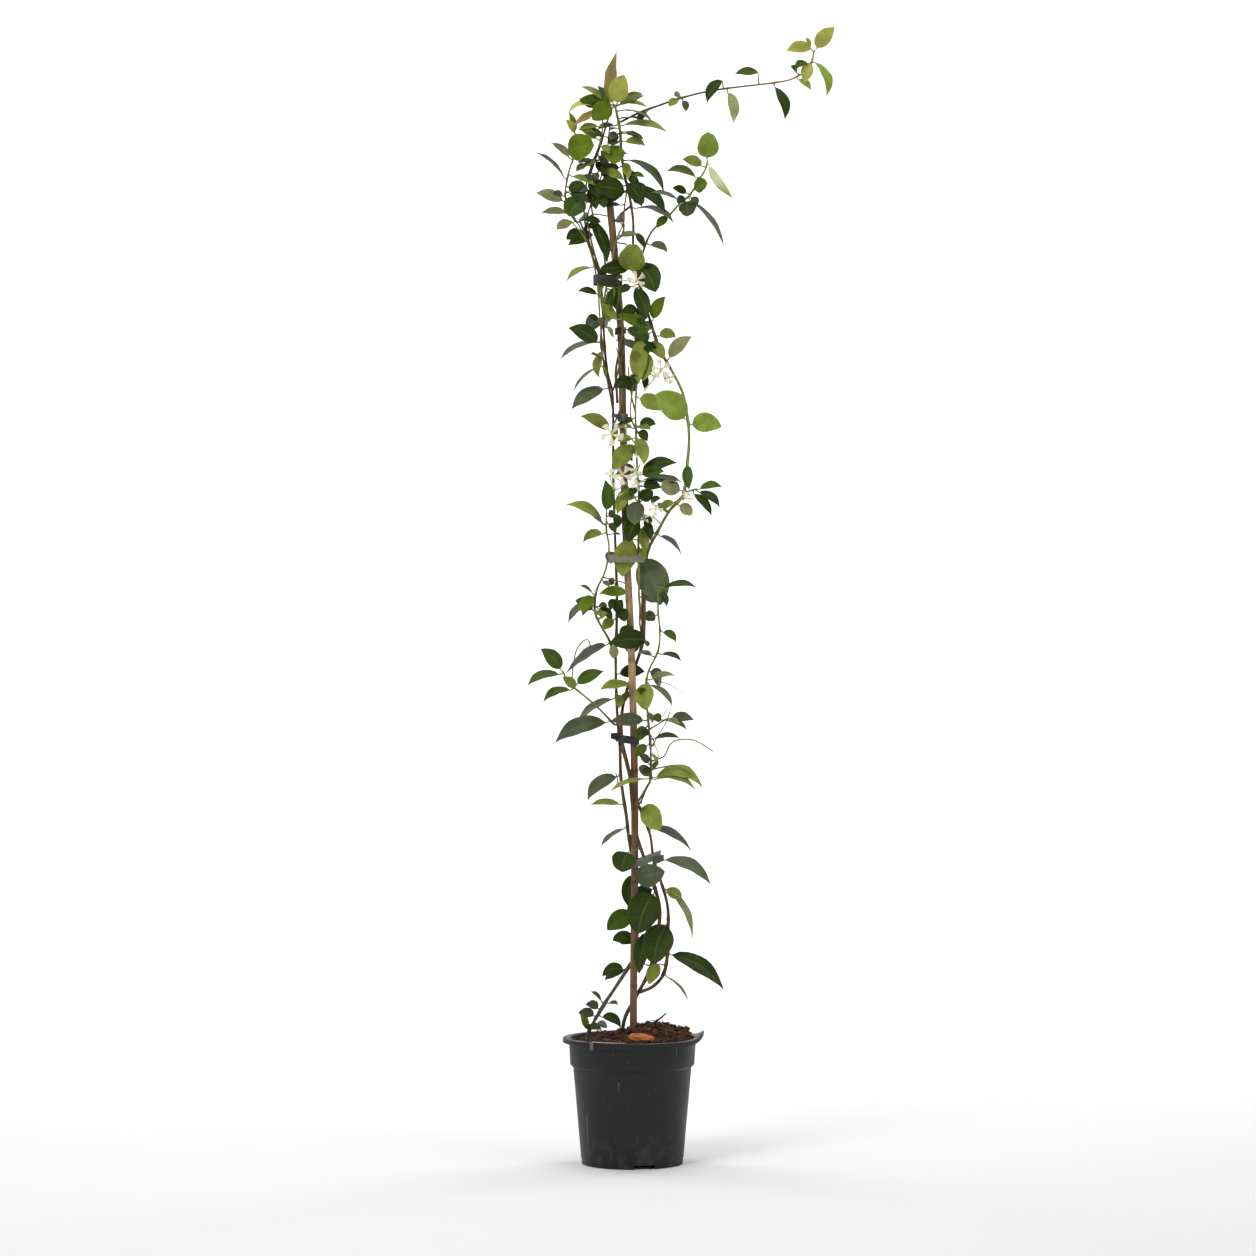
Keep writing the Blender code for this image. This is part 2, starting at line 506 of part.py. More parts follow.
def leaf_shape(root, start, tip, seen_width, face, rise, margin=0.0):
    """A folded, bowed blade on its stalk: three-sided stalk, six-sided blade, pointed tip."""
    chord = tip - start
    length = chord.length
    flat = Vector((chord.x, 0, chord.z))
    flat = flat.normalized() if flat.length > 1e-3 else Vector((1, 0, 0))
    upright = Vector((-flat.z, 0, flat.x))
    if upright.z < 0:
        upright = -upright
    seen_width *= WIDTH_GAIN
    width = max(seen_width, min(WIDTH_SHARE * length, WIDEST))
    turned = min(1.0, seen_width / width)
    depth_share = math.sqrt(max(0.0, 1 - turned ** 2))
    along = chord.normalized()
    choices = []
    for sign in (1, -1):
        across = upright * turned + Vector((0, sign * depth_share, 0))
        across = (across - along * across.dot(along)).normalized()
        normal = along.cross(across).normalized()
        if normal.y * face > 0:
            across = -across
            normal = -normal
        choices.append((normal.z, across))
    across = max(choices, key=lambda choice: choice[0])[1]
    control = (start + tip) / 2 + upright * rise * 2
    stations = ((0.2, 0.74), (0.5, 1.0), (0.8, 0.66)) if length > LONG_BLADE else ((0.3, 0.94), (0.7, 0.84))
    verts = []
    faces = [(0, 1, 2)]

    def frame(t):
        ahead = (control - start) * (1 - t) + (tip - control) * t
        ahead.normalize()
        side = (across - ahead * across.dot(ahead)).normalized()
        return start * (1 - t) ** 2 + control * 2 * t * (1 - t) + tip * t ** 2, side, ahead.cross(side)

    # a stalk that sets off backwards turns its cross-section with it
    ahead = (control - start).normalized()
    out = (start - root).normalized()
    backwards = out.dot(ahead) < 0.0
    for place, way in ((root, out), (start, (out + ahead).normalized())):
        _, side, up = frame(0.0)
        turn = ahead.rotation_difference(way if backwards else ahead)
        reach = PETIOLE + margin
        side, up = turn @ side * reach, turn @ up * reach
        verts += [place - side + up * 0.5, place + side + up * 0.5, place - up]
    for quad in ((0, 3, 4, 1), (1, 4, 5, 2), (2, 5, 3, 0)):
        faces += [quad[:3], (quad[0], *quad[2:])] if backwards else [quad]
    half = BLADE_THICK / 2 + margin
    for number, (t, share) in enumerate(stations):
        middle, side, up = frame(t)
        reach = width / 2 * share + margin
        wing = side * reach * math.cos(FOLD)
        lift = up * reach * math.sin(FOLD)
        ring = [middle - wing + lift, middle, middle + wing + lift]
        base = len(verts)
        verts += [place + up * half for place in ring] + [place - up * half for place in reversed(ring)]
        if number == 0:
            left, right, low = base - 3, base - 2, base - 1
            faces += [
                (left, base, base + 1), (left, base + 1, right), (right, base + 1, base + 2),
                (right, base + 2, base + 3), (right, base + 3, low), (low, base + 3, base + 4),
                (low, base + 4, base + 5), (low, base + 5, left), (left, base + 5, base),
            ]
        else:
            for spot in range(6):
                after = (spot + 1) % 6
                low = base - 6
                faces.append((low + spot, low + after, base + after))
                faces.append((low + spot, base + after, base + spot))
    last = len(verts) - 6
    verts.append(tip)
    faces += [(last + spot, last + (spot + 1) % 6, len(verts) - 1) for spot in range(6)]
    return verts, faces


class Room:
    """What is already placed, so that the next piece can be bent clear of other nodes."""

    def __init__(self):
        self.taken = []

    def add(self, node, shape):
        verts, faces = shape
        low = [min(v[axis] for v in verts) for axis in range(3)]
        high = [max(v[axis] for v in verts) for axis in range(3)]
        self.taken.append((node, low, high, BVHTree.FromPolygons(verts, faces)))

    def is_clear(self, node, shape, of_own):
        """Whether the shape misses every other node, or with of_own every piece of its own node."""
        verts, faces = shape
        low = [min(v[axis] for v in verts) for axis in range(3)]
        high = [max(v[axis] for v in verts) for axis in range(3)]
        tree = None
        for other, other_low, other_high, other_tree in self.taken:
            if (other == node) != of_own:
                continue
            if any(low[axis] > other_high[axis] or high[axis] < other_low[axis] for axis in range(3)):
                continue
            tree = tree or BVHTree.FromPolygons(verts, faces)
            if tree.overlap(other_tree):
                return False
        return True


def blade_only(shape):
    """The same leaf without its stalk and the taper from it."""
    verts, faces = shape
    return verts, [face for face in faces if min(face) >= 6]


def depth_choices(wanted):
    """Depths to try for a leaf's tip, from the wanted one outwards."""
    choices = [wanted]
    for step in range(1, 14):
        choices += [wanted - step * DEPTH_STEP, wanted + step * DEPTH_STEP]
    return [depth for depth in choices if abs(depth) <= DEPTH_LIMIT]


def leaf_root(stems, x, z):
    return min((stem.nearest(x, z) for stem in stems), key=lambda found: found[0])


def place_leaf(room, node, stems, row, wanted=None):
    """The leaf's shape, bent in depth until it is clear of every other node, or None."""
    start_x, start_z, tip_x, tip_z, seen_width, tone, rise, *lean = row
    face = -1 if tone in UNDERSIDE else 1
    gap, root = leaf_root(stems, start_x, start_z)
    if lean:
        wanted = lean[0]
    seen = math.hypot(tip_x - start_x, tip_z - start_z)
    if wanted is None:
        full = min(FULL_LENGTH, max(seen + 4, seen_width / 0.42, 30.0))
        wanted = -min(math.sqrt(max(full ** 2 - seen ** 2, 36.0)) * 0.85, FRONT_DEPTH)
    second_best = None
    for depth in depth_choices(wanted):
        tip = seen_at(tip_x, root.y + depth, tip_z)
        if gap > 4:
            start = seen_at(start_x, root.y + depth * 0.2, start_z)
        else:
            start = root + (tip - root).normalized() * 6
        if room.is_clear(node, leaf_shape(root, start, tip, seen_width, face, rise, GAP), False):
            shape = leaf_shape(root, start, tip, seen_width, face, rise)
            if room.is_clear(node, blade_only(shape), True):
                return shape
            second_best = second_best or shape
    return second_best


def back_rows(stems, draw):
    """Leaves that spring from the far side of the stems, spaced along them by one rule."""
    rows = []
    for stem in stems:
        run = BACK_SPACING * 0.5
        for start, end in zip(stem.points, stem.points[1:]):
            run += (end - start).length
            if run < BACK_SPACING or start.z < 185:
                continue
            run = 0.0
            side = draw.choice((-1, 1))
            reach = draw.uniform(6, 36)
            drop = draw.uniform(-22, 16)
            rows.append(((start.x, start.z, start.x + side * reach, start.z + drop,
                          draw.uniform(10, 18), "D", draw.uniform(2, 6)), draw.uniform(28, 52)))
    return rows


def fuse(name, shapes, colour):
    """One closed body from a stem's tube and all that springs from it."""
    main = mesh_object(name, *shapes[0], colour)
    if len(shapes) == 1:
        return main
    for solver in ("EXACT", "MANIFOLD"):
        pieces = bpy.data.collections.new(name + "_pieces")
        for number, shape in enumerate(shapes[1:]):
            piece = mesh_object(f"{name}_piece_{number}", *shape)
            bpy.context.scene.collection.objects.unlink(piece)
            pieces.objects.link(piece)
        bpy.context.scene.collection.children.link(pieces)
        union = main.modifiers.new("union", "BOOLEAN")
        union.operation = "UNION"
        union.operand_type = "COLLECTION"
        union.collection = pieces
        union.solver = solver
        shaped = main.evaluated_get(bpy.context.evaluated_depsgraph_get())
        joined = bpy.data.meshes.new_from_object(shaped)
        main.modifiers.clear()
        for piece in list(pieces.objects):
            bpy.data.objects.remove(piece, do_unlink=True)
        bpy.data.collections.remove(pieces)
        if keep_main_body(joined):
            break
    else:
        raise RuntimeError(f"{name} did not fuse into one closed body")
    main.data = joined
    main.data.materials.clear()
    main.data.materials.append(material(colour))
    return main


def keep_main_body(mesh):
    """Drops loose scraps beside the largest body, and says whether that body is closed."""
    work = bmesh.new()
    work.from_mesh(mesh)
    bmesh.ops.remove_doubles(work, verts=work.verts, dist=MERGE * MM)
    bmesh.ops.dissolve_degenerate(work, edges=work.edges, dist=MERGE * MM)
    work.faces.ensure_lookup_table()
    seen = set()
    bodies = []
    for face in work.faces:
        if face in seen:
            continue
        body = []
        queue = [face]
        seen.add(face)
        while queue:
            current = queue.pop()
            body.append(current)
            for edge in current.edges:
                for linked in edge.link_faces:
                    if linked not in seen:
                        seen.add(linked)
                        queue.append(linked)
        bodies.append(body)
    bodies.sort(key=len, reverse=True)
    for body in bodies[1:]:
        bmesh.ops.delete(work, geom=body, context="FACES")
    closed = all(len(edge.link_faces) == 2 for edge in work.edges)
    work.to_mesh(mesh)
    work.free()
    return closed


def flower_shape(centre, facing, radius):
    """Five petals spread like a pinwheel on a slim tube, one solid with a dished middle."""
    normal = Vector(facing).normalized()
    across = normal.cross(Vector((0, 0, 1))).normalized()
    beside = normal.cross(across)

    def around(angle, reach, lift):
        return centre + (across * math.cos(angle) + beside * math.sin(angle)) * reach + normal * lift

    outline = []
    for petal in range(5):
        turn = 2 * math.pi * petal / 5
        for angle, share, lift in ((0, 0.32, -0.3), (16, 0.98, 0.9), (50, 0.98, -0.6)):
            outline.append(around(turn + math.radians(angle), radius * share, lift))
    count = len(outline)
    half = normal * 0.35
    verts = [place + half for place in outline] + [place - half for place in outline]
    verts.append(centre - normal * 0.6)
    throat = len(verts)
    verts += [around(2 * math.pi * (side + 0.2) / 5, 1.5, -1.4) for side in range(5)]
    verts += [around(2 * math.pi * (side + 0.2) / 5, 1.0, -TUBE_LENGTH) for side in range(5)]
    faces = [tuple(range(throat + 5, throat + 10))]
    for spot in range(count):
        after = (spot + 1) % count
        faces.append((spot, after, 2 * count))
        faces.append((spot, count + spot, count + after))
        faces.append((spot, count + after, after))
        side = throat + spot // 3
        faces.append((count + after, count + spot, side))
        if spot % 3 == 2:
            faces.append((count + after, side, throat + (spot // 3 + 1) % 5))
    for side in range(5):
        after = (side + 1) % 5
        faces.append((throat + side, throat + after, throat + 5 + after))
        faces.append((throat + side, throat + 5 + after, throat + 5 + side))
    return verts, faces


def spray_shapes(stalk, flowers, buds):
    """The stalk's tube, and a tube and a pinwheel for each flower on it."""
    shapes = [tube_shape(stalk.points, stalk.radii, 5)]
    for x, y, z, radius, facing in flowers:
        centre = seen_at(x, y, z)
        base = centre - Vector(facing).normalized() * (TUBE_LENGTH - 1.5)
        root = leaf_root([stalk], x, z)[1]
        shapes.append(tube_shape([root, base], [0.8, 0.8], 4))
        shapes.append(flower_shape(centre, facing, radius))
    for x, y, z in buds:
        root = leaf_root([stalk], x, z)[1]
        tip = seen_at(x, y, z)
        shapes.append(tube_shape([root, tip, tip + (tip - root).normalized() * 2.5], [0.8, 1.4, 0.5], 4))
    return shapes


def seat(route_points, parent_stems):
    """Moves a shoot's first point to the surface of the stem that it grows from."""
    first = route_points[0]
    best = None
    for stem in parent_stems:
        for index in range(len(stem.points) - 1):
            start, end = stem.points[index], stem.points[index + 1]
            run = end - start
            t = min(max((first - start).dot(run) / run.length_squared, 0.0), 1.0)
            place = start + run * t
            gap = (first - place).length
            if best is None or gap < best[0]:
                best = (gap, place, stem.radii[index], run.normalized())
    _, place, thick, run = best
    away = route_points[1] - place
    away = (away - run * away.dot(run)).normalized()
    return [place + away * (thick + GAP), place + away * (thick + GAP + 2.5)] + route_points[1:]


def lathe(name, profile, sides, colour):
    """A turned solid from (radius, height) points that start and end on the axis."""
    verts = []
    rings = []
    for radius, height in profile:
        if radius < 1e-6:
            rings.append([len(verts)])
            verts.append((0, 0, height))
        else:
            rings.append(list(range(len(verts), len(verts) + sides)))
            for side in range(sides):
                angle = 2 * math.pi * side / sides
                verts.append((radius * math.cos(angle), radius * math.sin(angle), height))
    faces = []
    for low, high in zip(rings, rings[1:]):
        for side in range(sides):
            after = (side + 1) % sides
            if len(low) == 1:
                faces.append((low[0], high[after], high[side]))
            elif len(high) == 1:
                faces.append((low[side], low[after], high[0]))
            else:
                faces.append((low[side], low[after], high[after], high[side]))
    return mesh_object(name, verts, faces, colour)


def cut(target, cutters):
    """Takes each cutter out of the target, one by one, and removes it."""
    for cutter in cutters:
        taken = target.modifiers.new("cut", "BOOLEAN")
        taken.operation = "DIFFERENCE"
        taken.object = cutter
        shaped = target.evaluated_get(bpy.context.evaluated_depsgraph_get())
        result = bpy.data.meshes.new_from_object(shaped)
        target.modifiers.clear()
        target.data = result
        bpy.data.objects.remove(cutter, do_unlink=True)


def rim_bend(x, y):
    """How much of the bend the lip has at (x, y): most at its outer edge on the right."""
    reach = (math.hypot(x, y) - RIM_INNER + 1) / (RIM_RADIUS - RIM_INNER + 1)
    return min(max(reach, 0.0), 1.0) * math.exp(-(math.atan2(y, x) / 0.3) ** 2)


def make_pot():
    wall = POT_WALL
    profile = (
        (0, 0), (20, 0), (23, HOLLOW_HEIGHT), (FOOT_RADIUS - 8, HOLLOW_HEIGHT), (FOOT_RADIUS - 5, 0),
        (FOOT_RADIUS, 0), (FOOT_RADIUS + 0.5, 9), (BODY_RADIUS, BAND_BOTTOM - 1),
        (BAND_RADIUS - 1.5, BAND_BOTTOM + 2), (BAND_RADIUS, RIM_TOP - 4), (RIM_RADIUS - 1.6, RIM_TOP - LIP_DROP),
        (RIM_RADIUS, RIM_TOP - LIP_DROP), (RIM_RADIUS, RIM_TOP), (RIM_INNER, RIM_TOP),
        (BAND_RADIUS - 1.5 - wall, BAND_BOTTOM + 1), (BODY_RADIUS - wall, BAND_BOTTOM - 2.5),
        (FOOT_RADIUS - 1.5, FLOOR_TOP), (0, FLOOR_TOP),
    )
    pot = lathe("pot", profile, POT_SIDES, "pot")
    for vert in pot.data.vertices:
        x, y, z = vert.co / MM
        if z > RIM_TOP - LIP_DROP - 2:
            bend = rim_bend(x, y) * MM
            vert.co += Vector((RIM_SPREAD, 0, RIM_PINCH)) * bend
    cutters = []
    for number in range(DRAIN_HOLES):
        angle = 2 * math.pi * (number + 0.37) / DRAIN_HOLES
        x, y = 39 * math.cos(angle), 39 * math.sin(angle)
        cutters.append(mesh_object("drain", *tube_shape([Vector((x, y, -1)), Vector((x, y, 12))], [DRAIN_RADIUS] * 2, 8)))
    left, right = NOTCH_X
    box = [(x, y, z) for x in (left, right) for y in (-70, -45) for z in (-2, NOTCH_HEIGHT)]
    faces = [(0, 1, 3, 2), (4, 6, 7, 5), (0, 4, 5, 1), (2, 3, 7, 6), (0, 2, 6, 4), (1, 5, 7, 3)]
    cutters.append(mesh_object("notch", box, faces))
    cut(pot, cutters)
    return pot


def soil_height(x, y):
    """Height of the peat: heaped round the cane, lower at the left, lumpy."""
    heap = SOIL_HEAP * math.exp(-((x - 22) ** 2 + (y - 4) ** 2) / 38 ** 2)
    low = -9 * math.exp(-((x + 66) ** 2 + y ** 2) / 26 ** 2)
    tilt = 5 * math.exp(-((x - 62) ** 2 + (y - 5) ** 2) / 24 ** 2)
    lump = 1.3 * math.sin(x * 0.19 + y * 0.08) + 1.1 * math.sin(y * 0.23 - x * 0.11)
    return SOIL_LEVEL + heap + low + tilt + lump


def make_soil(stems):
    sides = SOIL_SIDES
    side_gap = 0.5
    floor = FLOOR_TOP + GAP
    wall = (
        (FOOT_RADIUS - 3.2, floor),
        (BODY_RADIUS - POT_WALL - 0.9 - side_gap, BAND_BOTTOM - 4),
        (BAND_RADIUS - 1.6 - POT_WALL - 0.3 - side_gap, BAND_BOTTOM + 4),
    )
    verts = [(0, 0, floor)]
    rings = []
    for radius, height in wall:
        rings.append(list(range(len(verts), len(verts) + sides)))
        for side in range(sides):
            angle = 2 * math.pi * side / sides
            verts.append((radius * math.cos(angle), radius * math.sin(angle), height))
    for radius in (RIM_INNER - 2.2, 60, 44, 28, 13):
        rings.append(list(range(len(verts), len(verts) + sides)))
        for side in range(sides):
            angle = 2 * math.pi * side / sides
            x, y = radius * math.cos(angle), radius * math.sin(angle)
            top = soil_height(x, y) - (7 if radius > 70 else 0)
            verts.append((x, y, top))
    centre = len(verts)
    verts.append((0, 0, soil_height(0, 0)))
    faces = []
    for side in range(sides):
        after = (side + 1) % sides
        faces.append((0, rings[0][after], rings[0][side]))
        for low, high in zip(rings, rings[1:]):
            faces.append((low[side], low[after], high[after]))
            faces.append((low[side], high[after], high[side]))
        faces.append((rings[-1][side], rings[-1][after], centre))
    soil = mesh_object("soil", verts, faces, "soil")
    cutters = []
    for stem, sides_of_hole in stems:
        above = next(index for index, place in enumerate(stem.points) if place.z > 176)
        spots = stem.points[:above + 1]
        points = [spots[0] - (spots[1] - spots[0]).normalized() * GAP, *spots[1:]]
        radii = [(radius + GAP) / math.cos(math.pi / sides_of_hole) for radius in stem.radii[:len(points)]]
        cutters.append(mesh_object("hole", *tube_shape(points, radii, sides_of_hole)))
    cut(soil, cutters)
    return soil


def belt_circles(stems, held, z, height, slope):
    """Where each held stem runs through the band's height, as (x, y, radius)."""
    circles = []
    reach = height / 2 + 1 + abs(slope) * 22
    for name in held:
        for stem in stems[name]:
            for level in (z - reach, z, z + reach):
                found = stem.at_height(level)
                if found and math.hypot(found[0].x - stems["cane"][0].at_height(z)[0].x, found[0].y) < TIE_REACH:
                    circles.append((found[0].x, found[0].y, found[1]))
    return circles


def hull_of(points):
    """The outline round a set of (x, y) points, anticlockwise."""
    points = sorted(points)

    def half(run):
        chain = []
        for point in run:
            while len(chain) > 1:
                (ax, ay), (bx, by) = chain[-2:]
                if (bx - ax) * (point[1] - ay) - (by - ay) * (point[0] - ax) > 1e-6:
                    break
                chain.pop()
            chain.append(point)
        return chain[:-1]

    return half(points) + half(reversed(points))


def tie_shape(circles, z, height, slope):
    """A band drawn round the circles like a belt, clear of them by the gap."""
    spots = []
    for x, y, radius in circles:
        reach = radius / math.cos(math.pi / BELT_SIDES) + GAP
        for side in range(BELT_SIDES):
            angle = 2 * math.pi * side / BELT_SIDES
            spots.append((x + reach * math.cos(angle), y + reach * math.sin(angle)))
    inner = [Vector((x, y, 0)) for x, y in hull_of(spots)]
    inner = [place for index, place in enumerate(inner) if (place - inner[index - 1]).length > 0.4]
    middle = sum(place.x for place in inner) / len(inner)
    sides = len(inner)
    verts = []
    for index, place in enumerate(inner):
        before = (place - inner[index - 1]).normalized()
        after = (inner[(index + 1) % sides] - place).normalized()
        out = Vector((before.y + after.y, -before.x - after.x, 0)).normalized()
        out *= TIE_THICK / max(out.dot(Vector((after.y, -after.x, 0))), 0.5)
        for share, up in ((0, -0.5), (1, -0.5), (1, 0.5), (0, 0.5)):
            spot = place + out * share
            spot.z = z + up * height + (spot.x - middle) * slope
            verts.append(spot)
    faces = []
    for side in range(sides):
        low, high = side * 4, ((side + 1) % sides) * 4
        for spot in range(4):
            after = (spot + 1) % 4
            faces.append((low + spot, low + after, high + after))
            faces.append((low + spot, high + after, high + spot))
    return verts, faces


def make_strip():
    """A thin black strip that lies along the front left of the rim, with a tab bent down over it."""
    low, high = RIM_TOP + GAP, RIM_TOP + GAP + 0.8
    inner, outer = RIM_RADIUS - 6.5, RIM_RADIUS - 0.5
    start, end = math.radians(233), math.radians(264)
    count = 6
    verts = []
    for step in range(count + 1):
        angle = start + (end - start) * step / count
        for radius, height in ((inner, low), (outer, low), (outer, high), (inner, high)):
            verts.append((radius * math.cos(angle), radius * math.sin(angle), height))
    faces = [(0, 1, 2, 3), tuple(range(count * 4 + 3, count * 4 - 1, -1))]
    for step in range(count):
        for spot in range(4):
            after = (spot + 1) % 4
            low_ring, high_ring = step * 4, (step + 1) * 4
            faces.append((low_ring + spot, low_ring + after, high_ring + after, high_ring + spot))
    tab = []
    for angle in (start + 0.01, start + 0.07):
        for radius, height in ((outer - 1, high), (outer - 1, low + 0.1), (RIM_RADIUS + GAP, low + 0.1),
                               (RIM_RADIUS + GAP, RIM_TOP - 9), (RIM_RADIUS + GAP + 0.8, RIM_TOP - 9),
                               (RIM_RADIUS + GAP + 0.8, high + 0.2)):
            tab.append((radius * math.cos(angle), radius * math.sin(angle), height))
    tab_faces = [(0, 1, 2, 3, 4, 5), (11, 10, 9, 8, 7, 6)]
    tab_faces += [(spot, (spot + 1) % 6, 6 + (spot + 1) % 6, 6 + spot) for spot in range(6)]
    return fuse("rim_strip", [(verts, faces), (tab, tab_faces)], "strip")


def make_chip():
    """A chip of bark that lies on the peat at the front."""
    base = 0.8
    outline = ((-6, -52), (4, -57), (20, -56), (27, -50), (14, -45), (-2, -46))
    verts = []
    for x, y in outline:
        verts.append((x, y, soil_height(x, y) + base + 0.4))
    for number, (x, y) in enumerate(outline):
        verts.append((x * 0.9 + 1, y * 0.97 - 1.5, soil_height(x, y) + base + (4.5, 6.5, 6, 4, 7, 6)[number]))
    faces = [(0, 1, 2, 3, 4, 5), (11, 10, 9, 8, 7, 6)]
    faces += [(spot, (spot + 1) % 6, 6 + (spot + 1) % 6, 6 + spot) for spot in range(6)]
    solid = []
    for face in faces:
        solid += [(face[0], face[spot], face[spot + 1]) for spot in range(1, len(face) - 1)]
    return mesh_object("bark_chip", verts, solid, "bark")


def main():
    clear_scene()
    draw = random.Random(SEED)
    room = Room()
    stems = {}
    cane_route = [(1, 0, CANE_FOOT), *CANE_ROUTE]
    cane = Stem(CANE_RADIUS, CANE_RADIUS, cane_route, 100)
    stems["cane"] = [cane]
    cane_tube = tube_shape(cane.points, cane.radii, 10)
    room.add("cane", cane_tube)
    mesh_object("cane", *cane_tube, "cane")

    for name, part, parent in GREENERY:
        own = []
        for number, (start, end, route) in enumerate(part["stems"]):
            stem = Stem(start, end, route, 24 if name.startswith("vine") else 18)
            if parent and number == 0:
                stem.points = seat(stem.points, stems[parent])
                stem.radii = [0.7, *tapered(stem.points[1:], start, end)]
            own.append(stem)
        stems[name] = own
    for name, part, _ in GREENERY:
        for stem in stems[name]:
            room.add(name, tube_shape(stem.points, stem.radii, STEM_SIDES))

    for name, z, height, slope, held, slack in TIES:
        circles = [*belt_circles(stems, held, z, height, slope), *slack]
        shape = tie_shape(circles, z, height, slope)
        room.add(name, shape)
        mesh_object(name, *shape, "tie")

    sprays = {}
    for name, parent, route, flowers, buds in SPRAYS:
        stalk = Stem(1.0, 0.9, route, 6)
        stalk.points = seat(stalk.points, stems[parent])
        stalk.radii = [0.6, *tapered(stalk.points[1:], 1.0, 0.9)]
        sprays[name] = spray_shapes(stalk, flowers, buds)
        for shape in sprays[name]:
            room.add(name, shape)

    soil_stems = [(cane, 10), (stems["vine_left"][0], STEM_SIDES), (stems["vine_right"][0], STEM_SIDES)]
    soil = make_soil(soil_stems)
    chip = make_chip()
    pot = make_pot()
    for item in (soil, chip, pot):
        item.data.calc_loop_triangles()
        verts = [vert.co / MM for vert in item.data.vertices]
        room.add(item.name, (verts, [tuple(face.vertices) for face in item.data.loop_triangles]))
    make_strip()

    shapes = {name: [] for name, _, _ in GREENERY}
    for name, part, _ in GREENERY:
        for row in part["leaves"]:
            shape = place_leaf(room, name, stems[name], row)
            if shape:
                shapes[name].append(shape)
                room.add(name, shape)
            else:
                raise RuntimeError(f"{name} has no room for the leaf {row}")
    for name in BACK_PARTS:
        for row, depth in back_rows(stems[name], draw):
            shape = place_leaf(room, name, stems[name], row, depth)
            if shape:
                shapes[name].append(shape)
                room.add(name, shape)

    for name, _, _ in GREENERY:
        tubes = [tube_shape(stem.points, stem.radii, STEM_SIDES) for stem in stems[name]]
        fuse(name, tubes + shapes[name], "young" if name in YOUNG_PARTS else "leaf")
    for name, pieces in sprays.items():
        fuse(name, pieces, "petal")


main()
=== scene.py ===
"""Potted star jasmine: fine leaves, stems, flowers, pot, peat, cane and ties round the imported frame.

Lengths inside the functions are in millimetres and are brought to metres when a piece is finished.
The origin is the middle of the pot's base, +Z is up and -Y is the front.
"""

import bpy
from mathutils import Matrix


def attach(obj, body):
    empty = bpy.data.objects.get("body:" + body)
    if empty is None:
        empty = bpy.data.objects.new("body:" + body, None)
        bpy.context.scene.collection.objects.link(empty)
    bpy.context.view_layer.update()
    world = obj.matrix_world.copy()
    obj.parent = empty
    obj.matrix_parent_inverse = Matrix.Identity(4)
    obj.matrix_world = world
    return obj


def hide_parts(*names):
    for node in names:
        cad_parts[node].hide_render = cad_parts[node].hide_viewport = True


bl_info = {
    "name": "Potted Star Jasmine",
    "version": (1, 0, 0),
    "blender": (4, 5, 0),
    "location": "View3D > Sidebar > Jasmine",
    "description": "Models a star jasmine tied to a bamboo cane in a nursery pot",
    "category": "Add Mesh",
}

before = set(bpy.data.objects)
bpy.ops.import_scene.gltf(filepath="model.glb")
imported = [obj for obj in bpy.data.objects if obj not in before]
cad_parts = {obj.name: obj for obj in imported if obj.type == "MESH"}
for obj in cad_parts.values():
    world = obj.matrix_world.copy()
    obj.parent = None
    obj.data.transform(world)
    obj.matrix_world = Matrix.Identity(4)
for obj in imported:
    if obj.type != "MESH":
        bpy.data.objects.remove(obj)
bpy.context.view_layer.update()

import math
import random

import bmesh
import bpy
from bpy.props import FloatProperty, FloatVectorProperty, IntProperty, PointerProperty
from mathutils import Matrix, Vector, noise

MM = 0.001
FULL_CIRCLE = 2 * math.pi

# The eye that the routes and leaves were read from: x and z are places on the plane y = 0
EYE_X = -5.2
EYE_Z = 642.0
EYE_DISTANCE = 4680.0

# Play between a stem's foot and what it grows from or stands in
GAP = 0.35

# The cane: radius, route as (x, y, z) and heights of its rings
CANE_RADIUS = 4.4
CANE_ROUTE = (
    (1, 0, 60), (1, 0, 150), (2, 0, 250), (3, 0, 400), (2, 0, 500), (0, 0, 580), (-4, 0, 680),
    (-8, 0, 760), (-11, 0, 880), (-14, 0, 1000), (-23, 0, 1110), (-27, 0, 1150), (-34, 0, 1215),
)
CANE_NODES = (212, 338, 470, 604, 738, 868, 990, 1096, 1182)
CANE_STEP = 100
# Middle and half height of the cane's clean stretch
CLEAN_HEIGHT = 622
CLEAN_REACH = 92

# Blades: width over length, widest, gain on the width that was read, fold of each half and longest
WIDTH_SHARE = 0.38
WIDEST = 26.0
WIDTH_GAIN = 1.12
FOLD = math.radians(14)
FULL_LENGTH = 66.0
# How far forwards a blade reaches at most, and how far its start lies from its root
FRONT_DEPTH = 36.0
BLADE_START = 6.0
# A row whose start is further than this from every stem keeps its own start
LOOSE_START = 4.0
# A reading and a corner of the solid closer than this are the same leaf tip
SAME_TIP = 0.15
# Tones that show a blade's underside
UNDERSIDE = "PU"
# A full turn in radians, as the draws of the blades and flowers have it
WAVE_TURN = 6.28
# What a blade draws: its brightness, the number and height of its waves, and the slant across it
TONE_RANGE = (0.86, 1.14)
WAVE_COUNT = (1.6, 2.8)
WAVE_HEIGHT = (0.3, 1.0)
SKEW = (-0.14, 0.14)
# Faces across and along a blade, radii of its stalk, and places and radii of its midrib
BLADE_GRID = (6, 10)
STALK_RADII = (1.15, 0.85, 0.8, 0.6)
RIB_SHARES = (0.02, 0.25, 0.5, 0.72, 0.92)
RIB_RADII = (0.62, 0.5, 0.4, 0.3, 0.12)

# Seed of the far leaves' draws and of the clods' lumps
SEED = 11

